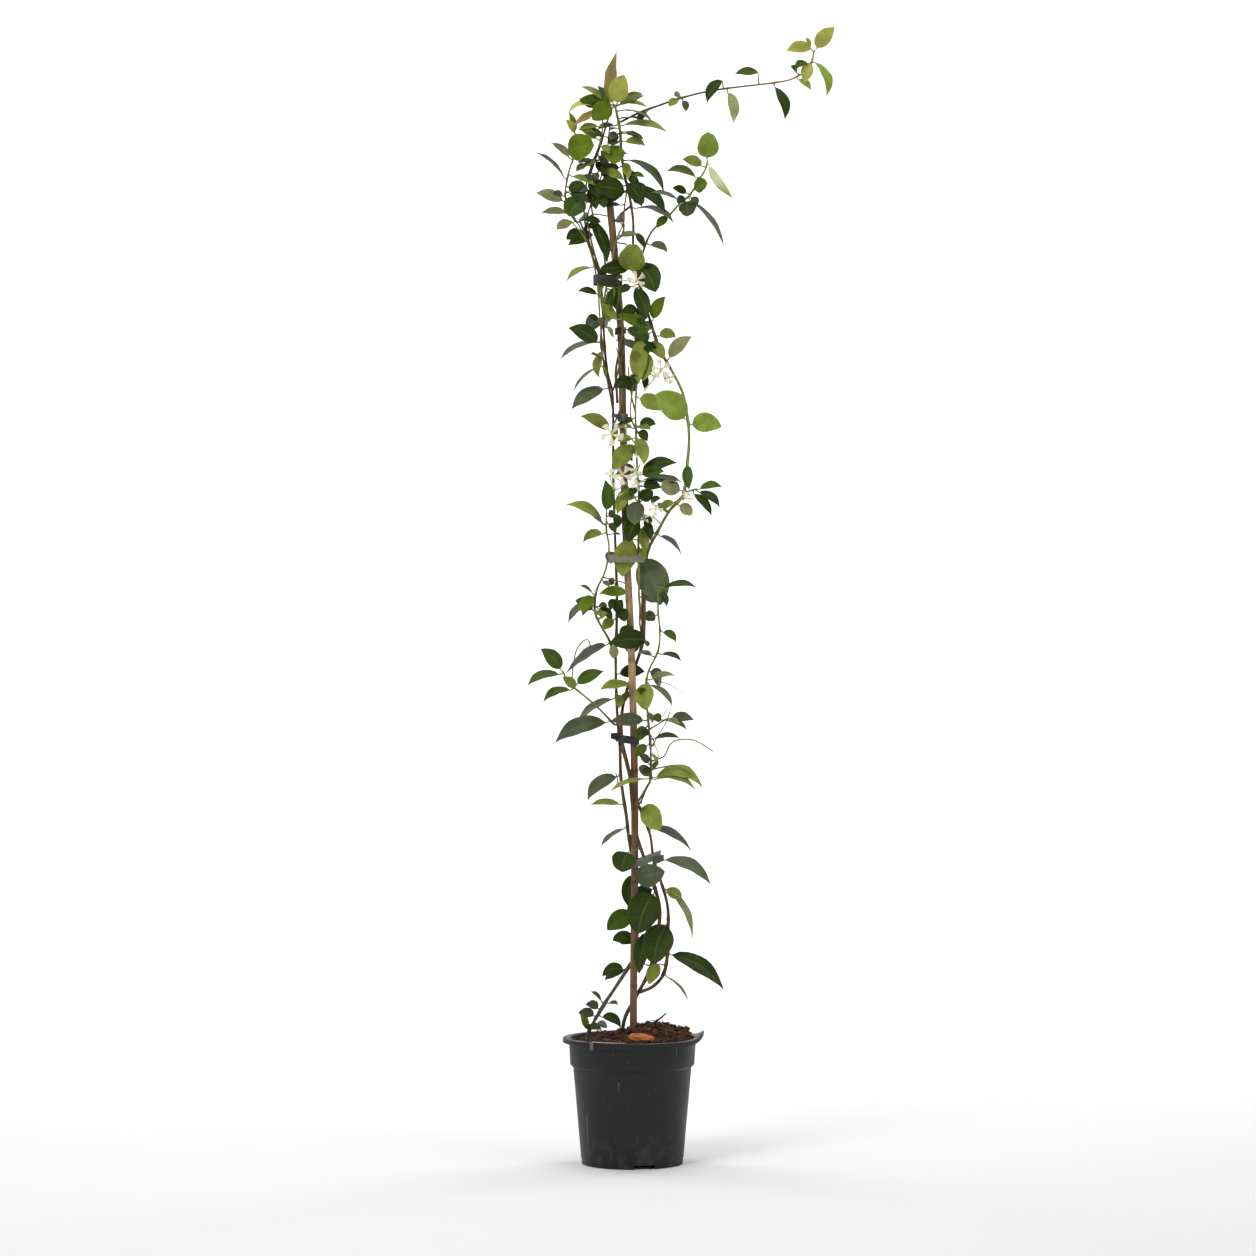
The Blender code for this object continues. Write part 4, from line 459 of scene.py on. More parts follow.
# Small leaves that only the fine model has, as leaf rows of the part that they grow on
SMALL_LEAVES = {
    "vine_left": (
        (-44, 168, -30, 162, 8, "U", 2), (-57, 163, -36, 160, 7, "D", 2), (-38, 966, -50, 971, 4, "D", 1),
        (-34, 1050, -22, 1026, 8, "D", 2), (-30, 1003, -22, 990, 5, "P", 1), (-19, 566, -16, 546, 10, "O", 2),
        (-22, 1052, -26, 1020, 9, "B", 2), (-38, 1130, -60, 1131, 8, "D", 2), (-20, 655, -12, 676, 12, "D", 2),
        (-17, 680, -26, 664, 9, "D", 2), (-21, 783, -18, 762, 10, "D", 2), (-24, 886, -6, 884, 6, "D", 2),
        (-20, 862, -17, 884, 8, "O", 2), (-32, 1015, -24, 1034, 10, "G", 2), (-36, 1060, -28, 1080, 8, "D", 2),
        (-41, 1068, -40, 1042, 6, "O", 2), (-29, 940, -36, 956, 5, "O", 1), (-4, 400, 3, 374, 7, "D", 2),
        (-21, 1048, -28, 1030, 10, "D", 2), (-15, 1050, -19, 1022, 9, "M", 2), (-20, 1012, -39, 1032, 10, "O", 2),
        (-2, 232, -34, 219, 9, "D", 2), (-10, 1003, 18, 986, 12, "D", 3),
    ),
    "vine_right": (
        (-3, 565, -15, 547, 8, "O", 2), (-10, 1272, 18, 1267, 6, "O", 3), (-8, 1238, 4, 1234, 5, "G", 1),
        (-20, 1268, 15, 1281, 7, "P", 2), (0, 1120, 14, 1098, 8, "D", 2), (-12, 1192, 8, 1168, 10, "D", 2),
        (-10, 1168, -38, 1150, 14, "D", 3), (-12, 1172, -34, 1158, 12, "D", 2), (-8, 1150, -34, 1147, 5, "D", 2),
        (-14, 1243, -26, 1240, 5, "D", 1), (-10, 1195, 4, 1176, 9, "D", 2), (-2, 1160, 14, 1152, 12, "D", 2),
        (-28, 1272, -42, 1293, 7, "L", 2), (-24, 1270, -32, 1288, 7, "L", 1), (-18, 1246, -42, 1240, 7, "D", 3),
        (4, 1072, -16, 1082, 15, "O", 3), (-2, 1052, -14, 1044, 9, "D", 2), (8, 1030, 10, 1004, 12, "D", 2),
        (18, 1000, 4, 984, 13, "M", 2), (20, 996, 12, 976, 9, "M", 2), (26, 972, 16, 986, 9, "D", 2),
        (14, 630, 18, 620, 6, "D", 1), (36, 329, 59, 317, 13, "P", 2), (12, 240, 8, 228, 7, "G", 1),
        (22, 792, 34, 798, 7, "D", 2), (44, 782, 30, 790, 7, "O", 2), (-13, 1237, -27, 1228, 9, "G", 2),
        (-15, 1228, -25, 1221, 7, "G", 1), (-8, 1236, 14, 1228, 6, "G", 2), (-6, 1212, -24, 1207, 7, "O", 2),
        (-4, 1178, 20, 1166, 8, "D", 2),
    ),
    "vine_front": (
        (8, 878, 18, 866, 8, "D", 2), (6, 848, -6, 862, 8, "O", 2), (6, 930, -2, 946, 10, "D", 2),
        (8, 812, -2, 800, 9, "D", 2), (8, 780, -12, 770, 12, "D", 2), (7, 770, -12, 782, 12, "D", 2),
        (9, 778, 24, 768, 7, "D", 2), (6, 800, -14, 795, 8, "O", 2), (6, 895, -10, 886, 7, "D", 2),
        (8, 884, 22, 880, 6, "O", 2), (6, 870, -18, 866, 8, "O", 2), (7, 742, 14, 722, 8, "O", 2),
        (12, 985, 20, 972, 8, "D", 2), (8, 960, -2, 972, 11, "O", 2), (12, 988, 8, 934, 20, "O", 3),
        (4, 884, 28, 886, 8, "M", 2), (5, 880, 18, 868, 10, "D", 2), (4, 825, 38, 830, 13, "M", 2),
        (9, 818, 54, 815, 7, "D", 3), (7, 768, 15, 728, 10, "O", 2),
    ),
    "shoot_centre": (
        (25, 475, 12, 468, 8, "D", 2), (22, 512, 8, 518, 8, "D", 2), (22, 495, 30, 480, 5, "O", 1),
        (20, 545, 24, 528, 6, "O", 1), (18, 560, 6, 568, 8, "M", 2), (24, 470, 32, 482, 5, "M", 1),
        (40, 531, 58, 527, 6, "P", 2), (22, 462, 76, 448, 6, "O", 9),
    ),
    "shoot_left_high": (
        (-46, 668, -30, 668, 6, "D", 2), (-40, 652, -30, 660, 7, "O", 2), (-36, 700, -28, 692, 6, "G", 1),
        (-31, 770, -20, 756, 8, "D", 2), (-31, 776, -20, 778, 9, "D", 2), (-32, 766, -46, 774, 4, "G", 1),
        (-30, 755, -14, 754, 3, "D", 1), (-45, 676, -60, 656, 6, "G", 2),
    ),
    "shoot_left_top": (
        (-80, 1172, -54, 1166, 12, "G", 3), (-79, 1166, -52, 1152, 12, "D", 3), (-69, 1232, -76, 1262, 8, "O", 1),
    ),
    "shoot_top": (
        (-35, 1275, -42, 1293, 5, "G", 2), (-55, 1198, -67, 1190, 8, "G", 2), (-52, 1178, -40, 1158, 14, "D", 3),
        (-56, 1172, -44, 1144, 14, "D", 3), (-57, 1150, -40, 1164, 12, "D", 2), (-50, 1190, -42, 1180, 7, "G", 2),
        (-46, 1204, -34, 1186, 10, "D", 2), (-42, 1212, -36, 1198, 7, "D", 2), (-40, 1222, -28, 1212, 8, "O", 2),
        (-44, 1206, -66, 1200, 5, "D", 1), (-58, 1128, -40, 1120, 10, "D", 2), (-30, 1231, -64, 1240, 9, "M", 2),
        (-35, 1267, -64, 1275, 12, "M", 2), (-38, 1204, -67, 1190, 7, "O", 2), (-47, 1114, -77, 1101, 14, "D", 3),
        (-42, 1172, -58, 1186, 8, "G", 2), (-39, 1192, -10, 1179, 10, "O", 3), (-42, 1166, -34, 1146, 12, "D", 2),
    ),
    "shoot_right_top": ((66, 1160, 54, 1152, 9, "D", 2), (70, 1160, 78, 1150, 8, "D", 2)),
    "shoot_long": ((60, 1279, 50, 1282, 7, "P", 2), (200, 1306, 190, 1316, 6, "M", 2)),
}

# Thin stems that only the fine model has, as stem rows of the part that they grow on
SMALL_STEMS = {
    "vine_left": (
        (1.3, 1.0, (
            (-22, 0, 896), (-27, -4, 925), (-33, -5, 955), (-38, -5, 985), (-36, -6, 1010), (-33, -5, 1040),
            (-30, -4, 1062),
        )),
        (1.2, 0.9, ((-24, 1, 925), (-20, -6, 938), (-16, -9, 955), (-11, -9, 972), (-8, -7, 990))),
        (1.4, 1.0, ((-36, 0, 1062), (-44, -3, 1086), (-50, -4, 1110), (-54, -3, 1132))),
        (0.9, 0.7, ((-40, 0, 1070), (-49, 2, 1092), (-57, 2, 1112), (-66, 1, 1128), (-72, 0, 1140))),
        (1.0, 0.8, ((-16, 3, 505), (-11, -4, 490), (-7, -7, 475), (-4, -8, 462))),
        (0.8, 0.6, ((-18, 3, 452), (-18, 0, 462), (-20, -3, 468))),
        (1.3, 1.1, (
            (-32, 0, 1062), (-33, -4, 1084), (-36, -6, 1102), (-40, -6, 1117), (-46, -5, 1132), (-49, -4, 1147),
            (-50, -2, 1165),
        )),
        (1.7, 1.4, (
            (-18, 1, 912), (-19, -4, 930), (-20, -6, 950), (-16, -8, 972), (-12, -8, 992), (-12, -7, 1010),
            (-14, -6, 1030),
        )),
    ),
    "vine_right": (
        (1.3, 0.9, (
            (-2, 3, 1148), (-14, -3, 1138), (-10, -5, 1126), (-12, -6, 1114), (-20, -8, 1106), (-16, -9, 1104),
            (-8, -9, 1103), (-3, -8, 1094), (0, -6, 1082),
        )),
        (1.0, 0.7, ((-22, -5, 1132), (-14, -7, 1129), (-10, -7, 1121), (-10, -7, 1114))),
        (1.2, 0.9, ((13, 5, 632), (9, -3, 645), (9, -6, 668), (8, -7, 690))),
        (1.5, 1.3, ((10, 7, 612), (14, 0, 630), (15, -3, 655), (15, -3, 680), (14, 0, 705))),
        (1.0, 0.8, ((10, 8, 432), (14, -2, 442), (20, -6, 455))),
        (1.0, 0.8, ((4, 5, 900), (0, -5, 915), (-3, -6, 935), (-5, -4, 955))),
    ),
    "vine_front": ((1.0, 0.8, ((5, -9, 880), (-2, -10, 895), (-1, -10, 920), (3, -9, 940))),),
    "shoot_centre": (
        (0.6, 0.4, ((27, -11, 579), (45, -14, 574), (62, -16, 563))),
        (0.6, 0.5, ((30, -11, 477), (31, -12, 490), (26, -11, 505), (22, -11, 514), (15, -11, 517))),
        (0.6, 0.5, ((24, -11, 500), (32, -12, 515), (40, -13, 528), (46, -14, 545), (42, -14, 545), (36, -14, 535))),
    ),
    "shoot_top": (
        (1.3, 1.0, (
            (-53, 2, 1180), (-46, -1, 1200), (-38, -3, 1222), (-33, -4, 1240), (-28, -3, 1256), (-24, -2, 1266),
        )),
        (1.0, 0.8, ((-58, 4, 1120), (-50, -4, 1137), (-40, -6, 1138), (-28, -6, 1136))),
        (1.1, 0.9, (
            (-57, 5, 1157), (-51, 0, 1168), (-46, -3, 1180), (-38, -5, 1195), (-31, -6, 1208), (-29, -6, 1226),
            (-27, -5, 1245),
        )),
        (1.0, 0.8, (
            (-55, 6, 1118), (-54, 0, 1132), (-52, -4, 1144), (-43, -6, 1168), (-34, -6, 1195), (-30, -6, 1218),
        )),
    ),
}

# Where a main stem is thinner or thicker: part, height, half the stretch and the share of its radius
STEM_CHANGES = (("vine_left", 155, 45, -0.2), ("vine_right", 664, 40, 0.3))
# Old main stems of the two vines that twine up the cane
MAIN_STEMS = {"vine_left": 1, "vine_right": 2}
# Of the right vine, heights of its green stretch and green top, and middle and half of its red stretch
GREEN_STRETCH = (725.0, 990.0)
GREEN_TOP = 1165
RED_STRETCH = (665, 38)
# Height below which a vine's foot is grey
GREY_FOOT = 240
# Parts whose thin stems are brown, shoots that stay brown for most of their length, and young shoots
BROWN_PARTS = ("vine_left", "vine_right", "shoot_top")
LONG_SHOOTS = ("shoot_long", "shoot_right_top")
YOUNG_PARTS = ("shoot_left_top", "shoot_right")
# Parts that one operator makes
VINE_NAMES = ("vine_left", "vine_right", "vine_front")
SHOOT_NAMES = ("shoot_centre", "shoot_left_low", "shoot_left_high", "shoot_right", "shoot_top")
YOUNG_NAMES = ("shoot_left_top", "shoot_right_top", "shoot_long")

# A plant piece's finishes in the order of its slots
PLANT_FINISHES = ("leaf_top", "leaf_under", "stem_bark", "flower_petal")
LEAF_TOP, LEAF_UNDER, BARK, PETAL = range(4)

# The dark tone is the deep green of old leaves with painted shade
TONE_NAMES = {
    # The sheen tone is painted sheen, where old leaves catch the light
    "D": "dark", "G": "sheen", "M": "middle", "B": "bright", "O": "olive", "L": "light",
    "Y": "yellow", "P": "pale", "Z": "bronze", "U": "grey", "V": "cream",
}

TIE_TINTS = {
    "tie_low": (0.41, 0.43, 0.38), "tie_middle": (0.19, 0.20, 0.19), "tie_upper": (0.485, 0.48, 0.40),
    "tie_clip": (0.34, 0.38, 0.34), "tie_band": (0.16, 0.17, 0.16), "tie_top": (0.235, 0.25, 0.18),
}
# Loose ends of the ties: where each leaves its band, where it ends, and its width
TIE_TAILS = {
    "tie_low": ((24, 363), (38, 367), 9.0),
    "tie_middle": ((-15, 512), (-26, 513), 8.0),
    "tie_clip": ((-14, 896), (-25, 898), 4.0),
    "tie_top": ((-20, 1059), (-40, 1058), 9.0),
}

# The stage, in metres: the floor's half width and front, the sweep's start and radius, and its height
FLOOR_HALF = 9.0
FLOOR_FRONT = -7.0
SWEEP_START = 3.6
SWEEP_RADIUS = 1.5
SWEEP_TOP = 7.0
SWEEP_PARTS = 12
# Lamps: name, place, point aimed at, width and height, and power
PLANT_MIDDLE = (0, 0, 0.7)
SWEEP_MIDDLE = (0, 5.0, 1.0)
LAMPS = (
    ("key", (-1.7, -2.6, 2.8), PLANT_MIDDLE, (1.4, 1.8), 66),
    ("fill", (2.6, -2.2, 1.4), PLANT_MIDDLE, (1.6, 2.2), 20),
    ("top", (0, 0.4, 3.4), PLANT_MIDDLE, (2.6, 2.0), 36),
    ("backdrop_left", (-2.6, 2.6, 2.6), SWEEP_MIDDLE, (2.0, 2.6), 110),
    ("backdrop_right", (2.6, 2.6, 2.6), SWEEP_MIDDLE, (2.0, 2.6), 110),
)
SENSOR_WIDTH = 36.0


# ---------------------------------------------------------------- colours and numbers

def linear(red, green, blue):
    """A screen colour as the light that it stands for."""
    return tuple(c / 12.92 if c <= 0.04045 else ((c + 0.055) / 1.055) ** 2.4 for c in (red, green, blue))


def shade(colour, factor):
    return tuple(min(1.0, channel * factor) for channel in colour)


def blend(first, second, share):
    return tuple(a + (b - a) * share for a, b in zip(first, second))


def clamp(value):
    """The value, held between 0 and 1."""
    return min(max(value, 0.0), 1.0)


def turn_to(direction):
    """The turn that brings +Z to a direction."""
    return Vector((0, 0, 1)).rotation_difference(direction).to_matrix().to_4x4()


# ---------------------------------------------------------------- places

def seen_at(x, y, z):
    """The real place of a point read at (x, z) that lies at the depth y."""
    share = (EYE_DISTANCE + y) / EYE_DISTANCE
    return Vector((EYE_X + (x - EYE_X) * share, y, EYE_Z + (z - EYE_Z) * share))


def curve_through(points, step):
    """Points about `step` apart on a smooth curve through the given ones."""
    padded = [points[0] * 2 - points[1], *points, points[-1] * 2 - points[-2]]
    result = [points[0]]
    for index in range(1, len(padded) - 2):
        before, start, end, after = padded[index - 1:index + 3]
        count = max(1, round((end - start).length / step))
        for part in range(1, count + 1):
            t = part / count
            result.append(0.5 * (
                2 * start + (end - before) * t + (2 * before - 5 * start + 4 * end - after) * t ** 2
                + (3 * start - before - 3 * end + after) * t ** 3
            ))
    return result


def thin_out(points, step):
    """Leaves out points of nearly straight runs that lie closer than `step`."""
    kept = [points[0]]
    for index in range(1, len(points) - 1):
        run = points[index] - kept[-1]
        bend = run.angle(points[index + 1] - points[index], 0.0)
        if run.length >= step or (bend > 0.35 and run.length > step * 0.4):
            kept.append(points[index])
    kept.append(points[-1])
    return kept


def tapered(points, start, end):
    """A radius for each point, from `start` to `end`."""
    count = len(points) - 1
    return [start + (end - start) * index / count for index in range(count + 1)]


class Stem:
    """A stem's centre line and radii, with the same bends as the solid's."""

    def __init__(self, start, end, route, step):
        readings = [seen_at(*place) for place in route]
        self.ends = (start, end)
        self.points = thin_out(curve_through(readings, step * 0.5), step)
        self.radii = tapered(self.points, start, end)

    def spring_from(self, parents, foot):
        """Seats the stem on its nearest parent, with the radius of its foot."""
        self.points = seat(self.points, parents)
        self.radii = [foot, *tapered(self.points[1:], *self.ends)]

    def nearest(self, x, z):
        """How far the centre line passes from (x, z) as the eye sees it, and its closest point."""
        best = None
        last = len(self.points) - 2
        for index in range(last + 1):
            start, end = self.points[index], self.points[index + 1]
            aim = seen_at(x, start.y, z)
            run = end - start
            flat = Vector((run.x, 0, run.z))
            t = (aim - start).dot(flat) / max(flat.length_squared, 1e-6)
            inset = END_INSET / run.length
            t = min(max(t, inset if index == 0 else 0.0), 1.0 - (inset if index == last else 0.0))
            place = start + run * t
            gap = math.hypot(aim.x - place.x, aim.z - place.z)
            if best is None or gap < best[0]:
                best = (gap, place)
        return best

    def smooth(self, step):
        """The centre line as a fine curve with its radii."""
        points = curve_through(self.points, step)
        radii = []
        for index in range(len(self.points) - 1):
            count = max(1, round((self.points[index + 1] - self.points[index]).length / step))
            low, high = self.radii[index:index + 2]
            radii += [low + (high - low) * part / count for part in range(count)]
        return points, radii + [self.radii[-1]]


def seat(points, parents):
    """Moves a shoot's first point to the surface of the stem that it grows from."""
    first = points[0]
    best = None
    for stem in parents:
        for index in range(len(stem.points) - 1):
            start, end = stem.points[index], stem.points[index + 1]
            run = end - start
            place = start + run * clamp((first - start).dot(run) / run.length_squared)
            gap = (first - place).length
            if best is None or gap < best[0]:
                best = (gap, place, stem.radii[index], run.normalized())
    _, place, thick, run = best
    away = points[1] - place
    away = (away - run * away.dot(run)).normalized()
    return [place + away * (thick + GAP), place + away * (thick + GAP + SEAT_STEP)] + points[1:]


def sink_root(points):
    """Draws a shoot's first point back into the stem that it springs from."""
    points[0] = points[0] - (points[1] - points[0]).normalized() * ROOT_SINK


def leaf_root(stems, x, z):
    return min((stem.nearest(x, z) for stem in stems), key=lambda found: found[0])


def readings_of(name):
    """Where the eye sees each corner of a solid, and how deep it lies."""
    found = []
    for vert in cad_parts[name].data.vertices:
        x, y, z = vert.co / MM
        share = (EYE_DISTANCE + y) / EYE_DISTANCE
        found.append((EYE_X + (x - EYE_X) / share, y, EYE_Z + (z - EYE_Z) / share))
    return found


def tip_depth(readings, x, z):
    """Depth of the solid's leaf tip that is seen at (x, z), or None where it has none."""
    off, depth = min((math.hypot(rx - x, rz - z), y) for rx, y, rz in readings)
    return depth if off < SAME_TIP else None


# ---------------------------------------------------------------- small meshes

def blank():
    """An empty working mesh with the map and the tint that every plant piece carries."""
    work = bmesh.new()
    work.loops.layers.uv.new("UVMap")
    work.verts.layers.float_color.new("tint")
    return work


def sheet(columns, rows):
    """A working mesh with a flat sheet, 1 wide and 1 long, round the origin."""
    work = blank()
    bmesh.ops.create_grid(work, x_segments=columns, y_segments=rows, size=0.5, calc_uvs=True)
    return work


def tint_layer(work):
    return work.verts.layers.float_color["tint"]


def paint(work, colour, verts=None):
    """Gives the vertices, or all of them, one tint."""
    layer = tint_layer(work)
    for vert in verts or work.verts:
        vert[layer] = (*colour, 1.0)


def dress(work, slot):
    """Sets the slot of every face, and makes it smooth."""
    for face in work.faces:
        face.material_index = slot
        face.smooth = True


def of_kind(items, kind):
    """The vertices, edges or faces among what an operator made."""
    return [item for item in items if isinstance(item, kind)]


def pour(target, work):
    """Adds a finished small mesh to the mesh of its piece."""
    bmesh.ops.recalc_face_normals(work, faces=work.faces)
    mesh = bpy.data.meshes.new("portion")
    work.to_mesh(mesh)
    work.free()
    target.from_mesh(mesh)
    bpy.data.meshes.remove(mesh)


def sweep(points, radii, sides, slot, colours):
    """A round closed tube, drawn out ring by ring along its points; `colours` is one or one a point."""
    if not isinstance(colours, list):
        colours = [colours] * len(points)
    work = blank()
    along = (points[1] - points[0]).normalized()
    place = Matrix.Translation(points[0]) @ turn_to(along)
    ring = bmesh.ops.create_circle(work, cap_ends=True, segments=sides, radius=radii[0], matrix=place)["verts"]
    paint(work, colours[0], ring)
    edges = list(work.edges)
    for index in range(1, len(points)):
        ahead = (points[min(index + 1, len(points) - 1)] - points[index - 1]).normalized()
        grown = bmesh.ops.extrude_edge_only(work, edges=edges)["geom"]
        ring, edges = of_kind(grown, bmesh.types.BMVert), of_kind(grown, bmesh.types.BMEdge)
        move = (Matrix.Translation(points[index])
                @ along.rotation_difference(ahead).to_matrix().to_4x4()
                @ Matrix.Scale(radii[index] / radii[index - 1], 4)
                @ Matrix.Translation(-points[index - 1]))
        bmesh.ops.transform(work, matrix=move, verts=ring)
        paint(work, colours[index], ring)
        along = ahead
    bmesh.ops.contextual_create(work, geom=edges)
    dress(work, slot)
    return work


def as_object(name, work):
    """Makes the working mesh an object of the scene."""
    mesh = bpy.data.meshes.new(name)
    work.to_mesh(mesh)
    work.free()
    made = bpy.data.objects.new(name, mesh)
    bpy.context.scene.collection.objects.link(made)
    return made


def to_metres(work):
    bmesh.ops.scale(work, vec=(MM, MM, MM), verts=work.verts)


def finish_piece(name, work, finishes, nodes, sharp=math.radians(50)):
    """Makes the working mesh an object in metres that rides on the plant and hides the solids of its nodes."""
    to_metres(work)
    piece = as_object(name, work)
    piece.data.shade_smooth()
    piece.data.set_sharp_from_angle(angle=sharp)
    for finish in finishes:
        piece.data.materials.append(finish)
    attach(piece, "root")
    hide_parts(*nodes)
    return piece


def from_node(name):
    """A merged copy of a solid's mesh, in millimetres."""
    work = blank()
    work.from_mesh(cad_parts[name].data)
    bmesh.ops.remove_doubles(work, verts=work.verts, dist=1e-6)
    bmesh.ops.scale(work, vec=(1 / MM,) * 3, verts=work.verts)
    bmesh.ops.dissolve_limit(work, angle_limit=math.radians(1), verts=work.verts, edges=work.edges)
    return work


def round_off(work, edges, size, segments):
    """Rounds the given edges."""
    bmesh.ops.bevel(work, geom=edges, offset=size, offset_type="OFFSET", segments=segments, profile=0.5,
                    affect="EDGES", clamp_overlap=True, material=-1)


def round_edges(work, size, segments, least):
    """Rounds every edge that turns by more than `least`."""
    edges = [edge for edge in work.edges if edge.is_manifold and edge.calc_face_angle(0.0) > least]
    round_off(work, edges, size, segments)


# ---------------------------------------------------------------- leaves

def leaf_share(t, point):
    """Half width of a blade at the share t of its length, over its widest half; point narrows its tip."""
    return math.sin(math.pi * t ** 0.84) ** (0.72 + point * t ** 3) if 0 < t < 1 else 0.0


def leaf_tints(tone, draw):
    """Colours of a blade's upper side and underside."""
    plants = bpy.context.scene.jasmine_foliage
    seen = linear(*getattr(plants, TONE_NAMES[tone]))
    vary = draw.uniform(*TONE_RANGE)
    if tone in UNDERSIDE:
        return shade(linear(*plants.middle), vary), shade(seen, vary)
    return shade(seen, vary), shade(blend(seen, linear(*plants.pale), 0.55), vary)


def blade_across(along, upright, turned, face):
    """Direction across a blade that shows the share `turned` of its width, with its lit side up."""
    depth_share = math.sqrt(max(0.0, 1 - turned ** 2))
    choices = []
    for sign in (1, -1):
        across = upright * turned + along.cross(upright) * (sign * depth_share)
        normal = along.cross(across).normalized()
        if normal.y * face > 0:
            across, normal = -across, -normal
        choices.append((normal.z, across))
    return max(choices, key=lambda choice: choice[0])[1]


def make_leaf(target, root, start, tip, seen_width, tone, bow, draw):
    """A bowed, folded and waved blade with its stalk and midrib."""
    plants = bpy.context.scene.jasmine_foliage
    chord = tip - start
    length = chord.length
    flat = Vector((chord.x, 0, chord.z))
    flat = flat.normalized() if flat.length > 1e-3 else Vector((1, 0, 0))
    upright = Vector((-flat.z, 0, flat.x))
    if upright.z < 0:
        upright = -upright
    seen_width *= WIDTH_GAIN
    width = max(seen_width, min(WIDTH_SHARE * length, WIDEST))
    turned = min(1.0, seen_width / width)
    along = chord.normalized()
    across = blade_across(along, upright, turned, -1 if tone in UNDERSIDE else 1)
    control = (start + tip) / 2 + upright * bow * 2
    phase = draw.uniform(0, WAVE_TURN)
    waves = draw.uniform(*WAVE_COUNT)
    wave = draw.uniform(*WAVE_HEIGHT) * plants.margin_wave
    skew = draw.uniform(*SKEW)
    # A slender blade ends in a longer point, and one that is seen edge-on lies flatter
    slender = seen_width / max(math.hypot(chord.x, chord.z), 1.0)
    point = min(0.6, max(-0.4, 0.6 - 1.8 * (slender - 0.38)))
    open_share = 0.4 + 0.6 * turned

    def spine(t):
        """Middle, direction across and normal of the bowed blade at the share t of its length."""
        ahead = ((control - start) * (1 - t) + (tip - control) * t).normalized()
        side = (across - ahead * across.dot(ahead)).normalized()
        return start * (1 - t) ** 2 + control * 2 * t * (1 - t) + tip * t ** 2, side, ahead.cross(side)

    work = sheet(*BLADE_GRID)
    upper, under = leaf_tints(tone, draw)
    ups = {}
    for vert in work.verts:
        a = vert.co.x * 2
        t = clamp(vert.co.y + 0.5)
        middle, side, up = spine(t)
        reach = width / 2 * leaf_share(t, point)
        lift = reach * (math.sin(FOLD) * abs(a) ** 1.2 - 0.09 * a ** 4)
        lift += wave * width * 0.5 * a * a * math.sin(math.pi * t) * math.sin(waves * WAVE_TURN * t + phase + a)
        lift += skew * reach * a
        vert.co = middle + side * (reach * a * math.cos(FOLD)) + up * (lift * open_share)
        ups[vert] = up
    bmesh.ops.remove_doubles(work, verts=work.verts, dist=0.01)
    for face in work.faces:
        face.material_index = LEAF_TOP
    grown = bmesh.ops.extrude_face_region(work, geom=work.faces[:], use_keep_orig=True)["geom"]
    fresh = set(of_kind(grown, bmesh.types.BMFace))
    thick = plants.leaf_thickness / MM
    paint(work, upper)
    if tone == "V":
        layer = tint_layer(work)
        green = linear(*plants.light)
        for vert in work.verts:
            share = (vert.co - start).dot(along) / length + 0.35 * noise.noise(vert.co * 0.45)
            vert[layer] = (*blend(upper, green, clamp((share - 0.5) * 5)), 1.0)
    bottoms = set(work.verts) - set(of_kind(grown, bmesh.types.BMVert))
    paint(work, under, list(bottoms))
    work.normal_update()
    for vert in bottoms:
        vert.co -= ups.get(vert, across) * thick
    for face in work.faces:
        face.smooth = True
        face.material_index = LEAF_TOP if face in fresh else LEAF_UNDER
    pour(target, work)

    stalk_colour = blend(shade(upper, 1.3), linear(*plants.young_bark), 0.55)
    middle, _, up = spine(0.06)
    stalk = [root, (root + start) / 2 - up * 0.6, start - up * thick, middle - up * thick]
    pour(target, sweep(stalk, STALK_RADII, 6, BARK, stalk_colour))
    rib = [spine(t)[0] - spine(t)[2] * (thick + 0.05) for t in RIB_SHARES]
    pour(target, sweep(rib, RIB_RADII, 5, LEAF_UNDER, shade(under, 1.18)))


def leaf_places(stems, rows, readings, far=False):
    """Root, start and tip of each blade with its width, tone and bow, as the solid has them."""
    for start_x, start_z, tip_x, tip_z, seen_width, tone, bow in rows:
        gap, root = leaf_root(stems, start_x, start_z)
        tip_y = tip_depth(readings, tip_x, tip_z)
        if tip_y is None and far:
            continue
        if tip_y is None:
            seen = math.hypot(tip_x - start_x, tip_z - start_z)
            full = min(FULL_LENGTH, max(seen + 4, seen_width / 0.42, 30.0))
            tip_y = root.y - min(math.sqrt(max(full ** 2 - seen ** 2, 36.0)) * 0.85, FRONT_DEPTH)
        tip = seen_at(tip_x, tip_y, tip_z)
        if gap > LOOSE_START:
            start = seen_at(start_x, root.y + (tip_y - root.y) * 0.2, start_z)
        else:
            start = root + (tip - root).normalized() * BLADE_START
        yield root, start, tip, seen_width, tone, bow


def back_rows(stems, draw):
    """Leaves that spring from the far side of the stems, spaced along them by one rule."""
    rows = []
    for stem in stems:
        run = BACK_SPACING * 0.5
        for start, end in zip(stem.points, stem.points[1:]):
            run += (end - start).length
            if run < BACK_SPACING or start.z < BACK_LOWEST:
                continue
            run = 0.0
            side = draw.choice((-1, 1))
            tip_x = start.x + side * draw.uniform(*BACK_ASIDE)
            tip_z = start.z + draw.uniform(*BACK_ABOVE)
            # Far leaves take the dark tone, so they carry its painted shade
            rows.append((start.x, start.z, tip_x, tip_z, draw.uniform(*BACK_WIDTH), "D", draw.uniform(*BACK_BOW)))
            # The solid holds the tip's depth, and its draw only keeps the later ones in step
            draw.uniform(*BACK_DEPTH)
    return rows


